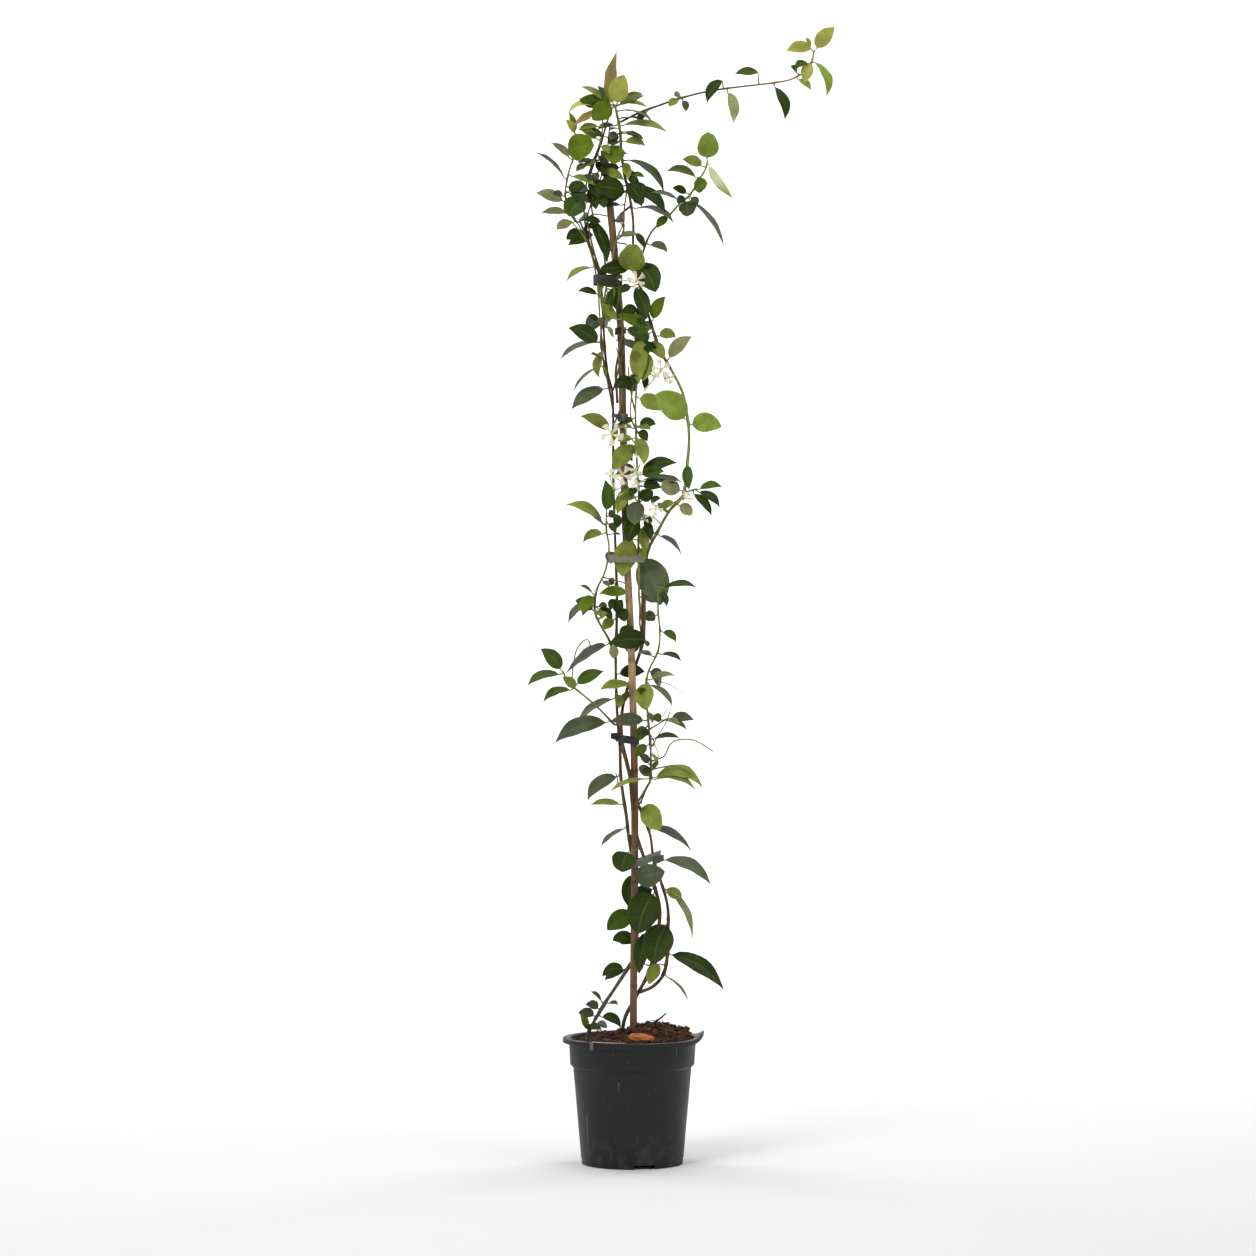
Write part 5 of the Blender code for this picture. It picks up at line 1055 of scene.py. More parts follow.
def green_share(name, number, thin, share, height):
    """How green a stem is at a share of its length and at a height: little where it is old."""
    if thin and name in BROWN_PARTS:
        return 0.1 + 0.3 * share
    if name == "vine_front":
        return 0.85
    if number < MAIN_STEMS.get(name, 0):
        green = max(0.12, (share - 0.85) * 3)
        if name == "vine_right":
            low, high = GREEN_STRETCH
            stretch = clamp((height - low) / 40) * clamp((high - height) / 50)
            green = max(green, stretch, 0.8 * clamp((height - GREEN_TOP) / 60))
        return green
    if name in LONG_SHOOTS:
        return 0.1 + 0.8 * share ** 3
    return (0.35 if name in YOUNG_PARTS else 0.3) + 0.6 * share


def stem_colours(name, number, thin, points):
    """Bark colours along a stem: brown where it is old, green where it is young."""
    plants = bpy.context.scene.jasmine_foliage
    old, young = linear(*plants.old_bark), linear(*plants.young_bark)
    foot, red = linear(*plants.foot_bark), linear(*plants.red_bark)
    red_middle, red_half = RED_STRETCH
    colours = []
    for index, place in enumerate(points):
        tint = blend(old, young, green_share(name, number, thin, index / (len(points) - 1), place.z))
        if name in VINE_NAMES:
            tint = blend(tint, foot, 0.8 * clamp((GREY_FOOT - place.z) / 30))
        if name == "vine_right" and number == 0:
            tint = blend(tint, red, 0.7 * math.exp(-((place.z - red_middle) / red_half) ** 4))
        colours.append(tint)
    return colours


def swollen(name, number, points, radii, joints):
    """A stem's radii with the swellings at its leaves, its lumps and the changes of STEM_CHANGES."""
    grown = []
    for place, radius in zip(points, radii):
        near = min([(place - joint).length for joint in joints], default=math.inf)
        bump = 0.35 * math.exp(-(near / 3.5) ** 2) + 0.1 * noise.noise(place * 0.12)
        for part, height, reach, change in STEM_CHANGES:
            if part == name and number == 0:
                bump += change * math.exp(-((place.z - height) / reach) ** 4)
        grown.append(radius * (1 + bump))
    return grown


def grow_stems():
    """Every plant part's stems by name, and each part's leaf rows of the far side."""
    stems = {}
    for name, part, parent in GREENERY:
        step = VINE_STEP if name.startswith("vine") else SHOOT_STEP
        stems[name] = [Stem(*row, step) for row in part["stems"]]
        if parent:
            stems[name][0].spring_from(stems[parent], SHOOT_FOOT)
    draw = random.Random(SEED)
    far = {name: back_rows(stems[name], draw) for name in BACK_PARTS}
    return stems, far


def make_greenery(names):
    """The stems and leaves of the named parts, one piece a part."""
    plants = bpy.context.scene.jasmine_foliage
    finishes = plant_finishes()
    stems, far = grow_stems()
    for name, part, parent in GREENERY:
        if name not in names:
            continue
        draw = random.Random(name)
        target = blank()
        own = stems[name]
        every = own + [Stem(*row, THIN_STEP) for row in SMALL_STEMS.get(name, ())]
        for number, stem in enumerate(every):
            points, radii = stem.smooth(SMOOTH_STEP)
            radii[0] = max(radii[0], LEAST_FOOT)
            if parent and number == 0:
                sink_root(points)
            found = [stem.nearest(*row[:2]) for row in part["leaves"]]
            joints = [place for gap, place in found if gap < JOINT_REACH]
            radii = swollen(name, number, points, radii, joints)
            colours = stem_colours(name, number, number >= len(own), points)
            pour(target, sweep(points, radii, plants.stem_sides, BARK, colours))
        shown = [row for number, row in enumerate(far.get(name, ())) if number not in FAR_UNSEEN.get(name, ())]
        readings = readings_of(name)
        blades = [
            *leaf_places(own, part["leaves"], readings),
            *leaf_places(own, shown, readings, far=True),
            *leaf_places(every, SMALL_LEAVES.get(name, ()), readings),
        ]
        for blade in blades:
            make_leaf(target, *blade, draw)
        finish_piece(f"{name}_fine", target, finishes, [name])


# ---------------------------------------------------------------- flowers

def make_flower(target, centre, facing, radius, base_colour, draw):
    """Five twisted petals round a yellow throat, on a tube with a small calyx."""
    flowers = bpy.context.scene.jasmine_flowers
    white, throat = linear(*flowers.petal), linear(*flowers.throat)
    normal = Vector(facing).normalized()
    turn = turn_to(normal)
    spin = Matrix.Rotation(draw.uniform(0, WAVE_TURN), 4, "Z")
    for number in range(PETALS):
        work = sheet(*PETAL_GRID)
        layer = tint_layer(work)
        curl = draw.uniform(*PETAL_CURL)
        long = radius * draw.uniform(*PETAL_LENGTH)
        for vert in work.verts:
            a, t = vert.co.x * 2, vert.co.y + 0.5
            reach = radius * (0.05 + 0.26 * t ** 1.3)
            out = radius * 0.1 + (long - radius * 0.1) * t * (1 - 0.1 * a * a * t) - 0.07 * radius * a * t
            aside = reach * a + radius * 0.16 * t * t
            lift = radius * (0.22 * a * t * (0.4 + t) - curl * t ** 3 + 0.05 * math.sin(5 * t + number))
            vert.co = (out, aside, lift)
            vert[layer] = (*blend(throat, white, min(1.0, t * 4.4)), 1.0)
        bmesh.ops.solidify(work, geom=work.faces[:], thickness=flowers.petal_thickness / MM)
        move = Matrix.Translation(centre) @ turn @ spin @ Matrix.Rotation(FULL_CIRCLE * number / PETALS, 4, "Z")
        bmesh.ops.transform(work, matrix=move, verts=work.verts)
        dress(work, PETAL)
        pour(target, work)
    tube = [centre + normal * reach for reach, _ in TUBE_RINGS]
    radii = [thick for _, thick in TUBE_RINGS]
    colours = [throat, blend(throat, white, 0.5), blend(white, base_colour, 0.3), blend(white, base_colour, 0.6),
               base_colour]
    pour(target, sweep(tube, radii, 8, PETAL, colours))
    for number in range(PETALS):
        angle = FULL_CIRCLE * number / PETALS + 0.4
        sideways = turn @ Vector((math.cos(angle), math.sin(angle), 0))
        foot = centre - normal * TUBE_LENGTH + sideways * 0.6
        tip = centre - normal * (TUBE_LENGTH - 3.4) + sideways * 1.7
        sepal = [foot, (foot + tip) / 2 + sideways * 0.2, tip]
        pour(target, sweep(sepal, (0.5, 0.55, 0.12), 4, PETAL, base_colour))


def make_sprays():
    """Six sprays of flowers and buds, one piece each."""
    looks = bpy.context.scene.jasmine_flowers
    finishes = plant_finishes()
    stems, _ = grow_stems()
    stalk_colour, white = linear(*looks.stalk), linear(*looks.petal)
    bud_colours = [stalk_colour, stalk_colour, blend(stalk_colour, white, 0.6), white,
                   blend(stalk_colour, white, 0.8)]
    for name, parent, route, flowers, buds in SPRAYS:
        draw = random.Random(name)
        stalk = Stem(*SPRAY_RADII, route, 6)
        stalk.spring_from(stems[parent], SPRAY_FOOT)
        points, _ = stalk.smooth(2.5)
        sink_root(points)
        target = blank()
        pour(target, sweep(points, tapered(points, 1.0, 0.75), 7, BARK, stalk_colour))
        for x, y, z, radius, facing in flowers:
            centre = seen_at(x, y, z)
            normal = Vector(facing).normalized()
            base = centre - normal * (TUBE_LENGTH - 0.4)
            _, root = stalk.nearest(x, z)
            bend = (root + base) / 2 - normal * 0.8 + Vector((0, 0, -0.6))
            run = curve_through([root, bend, base], 2.0)
            pour(target, sweep(run, [0.7] * len(run), 6, BARK, stalk_colour))
            make_flower(target, centre, facing, radius, stalk_colour, draw)
        for x, y, z in buds:
            _, root = stalk.nearest(x, z)
            tip = seen_at(x, y, z)
            along = (tip - root).normalized()
            run = [root, root + (tip - root) * 0.6, tip - along * 1.5, tip + along * 1.2, tip + along * 3.4]
            pour(target, sweep(run, (0.7, 0.7, 1.0, 1.5, 0.35), 7, PETAL, bud_colours))
        finish_piece(f"{name}_fine", target, finishes, [name])


# ---------------------------------------------------------------- cane and ties

def make_cane():
    """The bamboo cane with the rings of its nodes."""
    supports = bpy.context.scene.jasmine_supports
    points, _ = Stem(CANE_RADIUS, CANE_RADIUS, CANE_ROUTE, CANE_STEP).smooth(3.0)
    pale, brown = linear(*supports.cane_pale), linear(*supports.cane_brown)
    radii, colours = [], []
    for place in points:
        near = min(abs(place.z - height) for height in CANE_NODES)
        ring = 0.42 * math.exp(-(near / 1.6) ** 2) - 0.16 * math.exp(-((near - 4.5) / 2.0) ** 2)
        radii.append(CANE_RADIUS + ring + 0.06 * noise.noise(place * 0.05))
        clean = math.exp(-((place.z - CLEAN_HEIGHT) / CLEAN_REACH) ** 4)
        colours.append(shade(blend(brown, pale, clean), 0.55 if near < 2.0 else 1.0))
    target = blank()
    pour(target, sweep(points, radii, supports.cane_sides, 0, colours))
    round_edges(target, 0.4, 2, 1.2)
    finish_piece("cane_fine", target, [cane_finish()], ["cane"])


def make_tail(name, front):
    """The loose end of a tie, in front of its band."""
    (from_x, from_z), (to_x, to_z), width = TIE_TAILS[name]
    tail = sheet(8, 2)
    for vert in tail.verts:
        along, up = vert.co.x + 0.5, vert.co.y
        vert.co = seen_at(from_x + (to_x - from_x) * along, front - 1.5 * math.sin(along * 3.0),
                          from_z + (to_z - from_z) * along + up * width * (1 - 0.35 * along ** 3))
    bmesh.ops.solidify(tail, geom=tail.faces[:], thickness=0.9)
    return tail


def make_ties():
    """The plastic ties with rounded edges and their loose ends."""
    finish = tie_finish()
    for name, tint in TIE_TINTS.items():
        target = from_node(name)
        colour = linear(*tint)
        uprights = [edge for edge in target.edges if edge.is_manifold
                    and abs((edge.verts[0].co - edge.verts[1].co).normalized().z) > 0.8]
        round_off(target, uprights, 1.6, 3)
        round_edges(target, 0.35, 2, math.radians(60))
        paint(target, colour)
        if name in TIE_TAILS:
            tail = make_tail(name, min(vert.co.y for vert in target.verts) - 0.8)
            paint(tail, shade(colour, 1.15))
            pour(target, tail)
        dress(target, 0)
        finish_piece(f"{name}_fine", target, [finish], [name])


# ---------------------------------------------------------------- pot, peat, bark and strip

def lathe(profile, steps):
    """A closed turned mesh from (radius, height) points that start and end on the axis."""
    work = blank()
    verts = [work.verts.new((radius, 0, height)) for radius, height in profile]
    edges = [work.edges.new(pair) for pair in zip(verts, verts[1:])]
    bmesh.ops.spin(work, geom=verts + edges, axis=(0, 0, 1), cent=(0, 0, 0), dvec=(0, 0, 0), angle=FULL_CIRCLE,
                   steps=steps, use_merge=True, use_normal_flip=False, use_duplicate=False)
    bmesh.ops.remove_doubles(work, verts=work.verts, dist=1e-4)
    bmesh.ops.dissolve_degenerate(work, edges=work.edges, dist=1e-5)
    bmesh.ops.recalc_face_normals(work, faces=work.faces)
    return work


def rim_bend(x, y):
    """How much of the bend the lip has at (x, y): most at its outer edge on the right."""
    reach = (math.hypot(x, y) - RIM_INNER + 1) / (RIM_RADIUS - RIM_INNER + 1)
    return clamp(reach) * math.exp(-(math.atan2(y, x) / 0.3) ** 2)


def cut_away(piece, cutter):
    """Takes the cutter's shape out of the piece."""
    to_metres(cutter)
    tool = as_object("cutter", cutter)
    taken = piece.modifiers.new("cut", "BOOLEAN")
    taken.operation = "DIFFERENCE"
    taken.object = tool
    shaped = piece.evaluated_get(bpy.context.evaluated_depsgraph_get())
    piece.data = bpy.data.meshes.new_from_object(shaped)
    piece.modifiers.clear()
    bpy.data.objects.remove(tool, do_unlink=True)


def make_pot():
    """The nursery pot, with its foot ring, banded rim, bent lip, notch and drain holes."""
    pots = bpy.context.scene.jasmine_pot
    profile = (
        (0, 0), (20, 0), (23, 6), (FOOT_RADIUS - 8, 6), (FOOT_RADIUS - 5, 0), (FOOT_RADIUS - 0.4, 0),
        (FOOT_RADIUS, 7.2), (FOOT_RADIUS + 0.9, 8.4), (FOOT_RADIUS + 0.8, 10.5), (65.2, 50), (68.3, 85),
        (BODY_RADIUS, BAND_BOTTOM - 1), (BAND_RADIUS - 1.5, BAND_BOTTOM + 2), (BAND_RADIUS - 0.7, 133),
        (BAND_RADIUS, RIM_TOP - 6), (RIM_RADIUS - 2.2, RIM_TOP - 5), (RIM_RADIUS, RIM_TOP - 5.4),
        (RIM_RADIUS, RIM_TOP), (RIM_INNER, RIM_TOP), (BAND_RADIUS - 1.5 - POT_WALL, BAND_BOTTOM + 1),
        (BODY_RADIUS - POT_WALL, BAND_BOTTOM - 2.5), (FOOT_RADIUS - 1.5, FLOOR_TOP), (0, FLOOR_TOP),
    )
    work = lathe(profile, pots.pot_sides)
    round_edges(work, pots.edge_round / MM, 2, math.radians(24))
    for vert in work.verts:
        if vert.co.z > RIM_TOP - LIP_DROP - 2:
            vert.co += Vector((RIM_SPREAD, 0, RIM_PINCH)) * rim_bend(vert.co.x, vert.co.y)
        if vert.co.z < BAND_BOTTOM + 3:
            swell = 0.25 * noise.noise(vert.co * 0.02)
            vert.co += Vector((vert.co.x, vert.co.y, 0)).normalized() * swell
    piece = finish_piece("pot_fine", work, [pot_finish()], ["pot"], math.radians(35))
    for number in range(DRAIN_HOLES):
        angle = FULL_CIRCLE * (number + 0.37) / DRAIN_HOLES
        hole = Matrix.Translation((DRAIN_CIRCLE * math.cos(angle), DRAIN_CIRCLE * math.sin(angle), 4))
        cutter = bmesh.new()
        bmesh.ops.create_cone(cutter, cap_ends=True, segments=20, radius1=DRAIN_RADIUS, radius2=DRAIN_RADIUS,
                              depth=14, matrix=hole)
        cut_away(piece, cutter)
    notch = bmesh.new()
    place = Matrix.Translation(NOTCH_PLACE) @ Matrix.Diagonal((*NOTCH_SIZE, 1))
    bmesh.ops.create_cube(notch, size=1.0, matrix=place)
    cut_away(piece, notch)


def soil_height(x, y):
    """Height of the peat: heaped round the cane, lower at the left, lumpy."""
    heap = SOIL_HEAP * math.exp(-((x - 22) ** 2 + (y - 4) ** 2) / 38 ** 2)
    low = -9 * math.exp(-((x + 66) ** 2 + y ** 2) / 26 ** 2)
    tilt = 5 * math.exp(-((x - 62) ** 2 + (y - 5) ** 2) / 24 ** 2)
    lump = 1.3 * math.sin(x * 0.19 + y * 0.08) + 1.1 * math.sin(y * 0.23 - x * 0.11)
    edge = max(0.0, math.hypot(x, y) - 64) / 8.4
    return SOIL_LEVEL + heap + low + tilt + lump - 7 * min(edge, 1.0) ** 2


def crumbled(x, y):
    """The peat's height with its fine crumb."""
    spot = Vector((x, y, 0))
    return soil_height(x, y) + 1.5 * noise.noise(spot * 0.16) + 0.9 * noise.noise(spot * 0.45)


def strewn(draw, share):
    """A random place on the peat, within a share of its radius."""
    out = SOIL_RADIUS * math.sqrt(draw.random()) * share
    angle = draw.uniform(0, FULL_CIRCLE)
    return out * math.cos(angle), out * math.sin(angle)


def strew_clods(target, draw):
    """Loose clods of all sizes on the peat, poured in batches."""
    pots = bpy.context.scene.jasmine_pot
    dark, red = linear(*pots.peat_dark), linear(*pots.peat_red)
    # Without a seed, noise_vector takes its offsets from the clock
    noise.seed_set(SEED)
    batch = blank()
    for number in range(pots.clods):
        x, y = strewn(draw, 0.97)
        size = draw.uniform(*CLOD_SIZES) if draw.random() < SMALL_SHARE else draw.uniform(*LARGE_CLODS)
        squash = Matrix.Diagonal((draw.uniform(0.7, 1.4), draw.uniform(0.6, 1.2), draw.uniform(0.5, 0.9), 1))
        spin, tilt = Matrix.Rotation(draw.uniform(0, 3.1), 4, "Z"), Matrix.Rotation(draw.uniform(-0.6, 0.6), 4, "X")
        place = Matrix.Translation((x, y, crumbled(x, y) + size * 0.25)) @ spin @ tilt @ squash
        made = bmesh.ops.create_icosphere(batch, subdivisions=1, radius=size, matrix=place)["verts"]
        for vert in made:
            vert.co += noise.noise_vector(vert.co * 0.7) * size * 0.35
        mixed = blend(dark, red, draw.random() ** 1.5)
        paint(batch, shade(mixed, draw.uniform(*CLOD_SHADES)), made)
        if number % CLOD_BATCH == CLOD_BATCH - 1 or number == pots.clods - 1:
            pour(target, batch)
            batch = blank()
    batch.free()


def strew_fibres(target, draw):
    """Loose bark fibres that lie on the peat or stand out of it."""
    pots = bpy.context.scene.jasmine_pot
    red, tan = linear(*pots.peat_red), linear(*pots.fibre)
    for _ in range(pots.fibres):
        x, y = strewn(draw, 0.93)
        heading = draw.uniform(0, FULL_CIRCLE)
        length = draw.uniform(*FIBRE_LENGTHS)
        slope = draw.uniform(*FIBRE_SLOPES)
        points = []
        for part in (0.0, 0.5, 1.0):
            px, py = x + math.cos(heading) * length * part, y + math.sin(heading) * length * part
            out = math.hypot(px, py)
            if out > SOIL_RADIUS:
                px, py = px * SOIL_RADIUS / out, py * SOIL_RADIUS / out
            bow = math.sin(part * math.pi) * draw.uniform(0, 1.5)
            points.append(Vector((px, py, crumbled(px, py) + 0.6 + slope * length * part + bow)))
        if min((points[1] - points[0]).length, (points[2] - points[1]).length) < LEAST_FIBRE:
            continue
        thick = draw.uniform(*FIBRE_RADII)
        colour = shade(blend(red, tan, draw.random() ** 1.6), draw.uniform(0.6, 1.2))
        pour(target, sweep(points, (thick, thick * 1.1, thick * 0.5), 4, 0, colour))


def make_soil():
    """The peat with its clods, its bark fibres and a dry twig."""
    pots = bpy.context.scene.jasmine_pot
    dark, red = linear(*pots.peat_dark), linear(*pots.peat_red)
    profile = [(SOIL_RADIUS * index / SOIL_RINGS, SOIL_LEVEL) for index in range(SOIL_RINGS + 1)]
    profile += [(72.0, BAND_BOTTOM + 4), (68.0, BAND_BOTTOM - 4), (57.8, FLOOR_TOP + GAP), (0, FLOOR_TOP + GAP)]
    target = lathe(profile, SOIL_SIDES)
    layer = tint_layer(target)
    for vert in target.verts:
        if vert.co.z > SOIL_LEVEL - 1:
            vert.co.z = crumbled(vert.co.x, vert.co.y)
        vert[layer] = (*blend(dark, red, 0.5 + 0.5 * noise.noise(vert.co * 0.1)), 1.0)
    draw = random.Random("peat")
    strew_clods(target, draw)
    strew_fibres(target, draw)
    twig = [seen_at(*place) for place in TWIG]
    pour(target, sweep(twig, (1.6, 1.5, 1.2, 0.8), 6, 0, linear(0.15, 0.14, 0.12)))
    finish_piece("peat_fine", target, [peat_finish()], ["soil"])


def make_bark_chip():
    """The orange chip of bark on the peat, with torn edges and layers."""
    pots = bpy.context.scene.jasmine_pot
    target = from_node("bark_chip")
    bmesh.ops.triangulate(target, faces=target.faces)
    bmesh.ops.subdivide_edges(target, edges=target.edges, cuts=3, use_grid_fill=True)
    target.normal_update()
    for vert in target.verts:
        ridge = noise.noise(Vector((vert.co.x * 0.15, vert.co.y * 0.9, vert.co.z * 0.9)))
        vert.co += vert.normal * (0.55 * ridge + 0.3 * noise.noise(vert.co * 0.9) - 0.15)
    bmesh.ops.triangulate(target, faces=target.faces)
    paint(target, linear(*pots.bark_chip))
    finish_piece("bark_chip_fine", target, [chip_finish()], ["bark_chip"], math.radians(35))


def make_strip():
    """The thin black strip on the rim with its bent tab."""
    target = from_node("rim_strip")
    round_edges(target, 0.2, 2, math.radians(40))
    layer = tint_layer(target)
    top = max(vert.co.z for vert in target.verts)
    left = min(vert.co.x for vert in target.verts)
    for vert in target.verts:
        # The top edge catches the light, and the tab at the left is a little paler than the rest
        grey = 0.16 if vert.co.z > top - 0.6 else 0.035 if vert.co.x < left + 6 else 0.02
        vert[layer] = (grey, grey, grey, 1.0)
    finish_piece("rim_strip_fine", target, [strip_finish()], ["rim_strip"])


# ---------------------------------------------------------------- finishes

class Finish:
    """A material with short calls that lay out its nodes."""

    def __init__(self, name, **constants):
        self.material = bpy.data.materials.new(name)
        self.material.use_nodes = True
        self.tree = self.material.node_tree
        self.shader = self.tree.nodes["Principled BSDF"]
        for socket, value in constants.items():
            self.shader.inputs[socket.replace("_", " ")].default_value = value

    def node(self, kind, sockets=None, **settings):
        made = self.tree.nodes.new("ShaderNode" + kind)
        for key, value in settings.items():
            setattr(made, key, value)
        for key, value in (sockets or {}).items():
            self.put(made.inputs[key], value)
        return made

    def put(self, socket, value):
        if isinstance(value, bpy.types.NodeSocket):
            self.tree.links.new(value, socket)
        else:
            socket.default_value = value

    def maths(self, operation, first, second=0.0, clamp=False):
        made = self.node("Math", {0: first, 1: second}, operation=operation, use_clamp=clamp)
        return made.outputs[0]

    def place(self, stretch):
        """The piece's own coordinates in metres, stretched."""
        spot = self.node("TexCoord").outputs["Object"]
        return self.node("Mapping", {"Vector": spot, "Scale": stretch}).outputs[0]

    def noise(self, scale, detail, stretch=(1, 1, 1)):
        sockets = {"Vector": self.place(stretch), "Scale": scale, "Detail": detail, "Roughness": 0.55}
        return self.node("TexNoise", sockets).outputs["Fac"]

    def span(self, value, low, high, to_low=0.0, to_high=1.0):
        sockets = {0: value, 1: low, 2: high, 3: to_low, 4: to_high}
        return self.node("MapRange", sockets, interpolation_type="SMOOTHSTEP").outputs[0]

    def mix(self, share, first, second):
        made = self.node("Mix", data_type="RGBA")
        self.put(made.inputs[0], share)
        for socket, value in ((made.inputs[6], first), (made.inputs[7], second)):
            self.put(socket, value if isinstance(value, bpy.types.NodeSocket) else (*value, 1.0))
        return made.outputs[2]

    def tint(self):
        return self.node("Attribute", attribute_name="tint").outputs["Color"]

    def scaled(self, colour, factor):
        """The colour brighter or darker by a factor that changes over the surface."""
        return self.node("VectorMath", {0: colour, "Scale": factor}, operation="SCALE").outputs[0]

    def bump(self, height, distance, strength=1.0, under=None):
        sockets = {"Height": height, "Distance": distance, "Strength": strength}
        if under:
            sockets["Normal"] = under
        return self.node("Bump", sockets).outputs[0]

    def grained(self, grain, tints, roughs, relief):
        """The material with a grain that mottles its tint, its roughness and its relief."""
        colour = self.scaled(self.tint(), self.span(grain, *tints))
        return self.done(colour, self.span(grain, *roughs), self.bump(grain, *relief))

    def done(self, colour, rough=None, normal=None):
        self.put(self.shader.inputs["Base Color"], colour)
        if rough is not None:
            self.put(self.shader.inputs["Roughness"], rough)
        if normal is not None:
            self.put(self.shader.inputs["Normal"], normal)
        return self.material


def leaf_finish(name, under):
    """A leaf side: side veins that leave the midrib at a slant, patchy green and a soft gloss."""
    plants = bpy.context.scene.jasmine_foliage
    gloss = 0.15 if under else plants.leaf_gloss
    made = Finish(name, Specular_IOR_Level=gloss)
    split = made.node("SeparateXYZ", {0: made.node("UVMap", uv_map="UVMap").outputs[0]})
    u, v = split.outputs[0], split.outputs[1]
    off = made.maths("MULTIPLY", made.maths("ABSOLUTE", made.maths("SUBTRACT", u, 0.5)), 2.0)
    slant = made.maths("SUBTRACT", made.maths("MULTIPLY", v, 9.0), made.maths("MULTIPLY", off, 1.7))
    wobble = made.maths("MULTIPLY", made.noise(90.0, 1.0), 0.5)
    beat = made.maths("PINGPONG", made.maths("ADD", slant, wobble), 0.5)
    vein = made.maths("MULTIPLY", made.span(beat, 0.40, 0.5), made.span(off, 0.95, 0.5))
    rib = made.span(off, 0.11, 0.03)
    lines = made.maths("MAXIMUM", made.maths("MULTIPLY", vein, 0.4), rib)
    patch = made.noise(60.0, 3.0)
    bright = made.span(patch, 0.25, 0.75, 0.78, 1.22)
    colour = made.scaled(made.tint(), bright)
    edge = made.span(off, 0.8, 1.0, 1.0, 1.12)
    colour = made.scaled(colour, edge)
    colour = made.mix(made.maths("MULTIPLY", lines, 0.35 if under else 0.15), colour, linear(0.56, 0.62, 0.38))
    grain = made.noise(1800.0, 2.0)
    raised = made.maths("MULTIPLY", lines, 1.0 if under else -1.0)
    relief = made.maths("ADD", raised, made.maths("MULTIPLY", grain, 0.12))
    normal = made.bump(relief, 0.00035, 0.7)
    rough = made.span(patch, 0.2, 0.8, 0.55 if under else 0.42, 0.7 if under else 0.56)
    return made.done(colour, rough, normal)


def bark_finish():
    """Thin bark with long streaks, warts and a dull gloss."""
    made = Finish("stem_bark", Specular_IOR_Level=0.2)
    streak = made.noise(500.0, 4.0, (1, 1, 0.16))
    warts = made.span(made.noise(900.0, 2.0), 0.62, 0.72)
    colour = made.scaled(made.tint(), made.span(streak, 0.3, 0.7, 0.6, 1.35))
    colour = made.mix(made.maths("MULTIPLY", warts, 0.35), colour, linear(0.62, 0.55, 0.45))
    normal = made.bump(streak, 0.0006, 0.8)
    return made.done(colour, made.span(streak, 0.2, 0.8, 0.5, 0.75), normal)


def petal_finish():
    """Soft cream petals with faint lengthwise creases."""
    made = Finish("flower_petal", Specular_IOR_Level=0.3, Subsurface_Weight=0.12, Subsurface_Scale=0.002)
    return made.grained(made.noise(700.0, 2.0), (0.3, 0.7, 0.93, 1.03), (0.2, 0.8, 0.45, 0.6), (0.0003, 0.5))


def plant_finishes():
    """The plant's finishes in the order of their slots, made once."""
    makers = {
        "leaf_top": lambda: leaf_finish("leaf_top", False), "leaf_under": lambda: leaf_finish("leaf_under", True),
        "stem_bark": bark_finish, "flower_petal": petal_finish,
    }
    return [bpy.data.materials.get(name) or makers[name]() for name in PLANT_FINISHES]


def cane_finish():
    """Bamboo with lengthwise fibres, grime and grey weathering."""
    made = Finish("bamboo", Specular_IOR_Level=0.35)
    fibre = made.noise(1500.0, 3.0, (1, 1, 0.03))
    grime = made.noise(70.0, 5.0, (1, 1, 0.4))
    colour = made.scaled(made.tint(), made.span(fibre, 0.3, 0.7, 0.75, 1.2))
    colour = made.mix(made.span(grime, 0.5, 0.75, 0.0, 0.55), colour, linear(0.30, 0.22, 0.17))
    return made.done(colour, made.span(grime, 0.2, 0.8, 0.4, 0.65), made.bump(fibre, 0.0004, 0.6))


def tie_finish():
    """Soft plastic tape with fine ribs and dust."""
    made = Finish("tie_tape", Specular_IOR_Level=0.4)
    dust = made.noise(250.0, 4.0)
    ribs = made.noise(1200.0, 2.0, (0.05, 0.05, 1))
    colour = made.scaled(made.tint(), made.span(dust, 0.3, 0.7, 0.85, 1.2))
    return made.done(colour, made.span(dust, 0.3, 0.7, 0.42, 0.62), made.bump(ribs, 0.0003, 0.5))


def pot_finish():
    """Dull black plastic with handling marks, faint turning lines, scratches and dust near the foot."""
    pots = bpy.context.scene.jasmine_pot
    made = Finish("dull_plastic", Specular_IOR_Level=0.26)
    base = linear(*pots.plastic)
    cloud = made.noise(22.0, 5.0)
    speck = made.span(made.noise(420.0, 3.0), 0.66, 0.74)
    rings = made.noise(900.0, 2.0, (0.02, 0.02, 1))
    scratch = made.span(made.noise(160.0, 3.0, (1, 1, 0.08)), 0.69, 0.73)
    height = made.node("SeparateXYZ", {0: made.node("TexCoord").outputs["Object"]}).outputs[2]
    low = made.span(height, 0.06, 0.0)
    colour = made.mix(made.span(cloud, 0.35, 0.75, 0.0, 0.5), base, shade(base, 1.7))
    marks = made.maths("MAXIMUM", made.maths("MULTIPLY", scratch, 0.35), made.maths("MULTIPLY", speck, 0.25))
    dusty = made.maths("MULTIPLY", low, made.span(made.noise(90.0, 4.0), 0.45, 0.7, 0.0, 0.13))
    amount = made.maths("MULTIPLY", made.maths("ADD", marks, dusty, clamp=True), pots.wear)
    colour = made.mix(amount, colour, linear(0.55, 0.54, 0.52))
    rough = made.span(cloud, 0.3, 0.7, 0.42, 0.58)
    normal = made.bump(rings, 0.00015, 0.35)
    normal = made.bump(made.noise(260.0, 3.0), 0.0002, 0.25, normal)
    return made.done(colour, rough, normal)


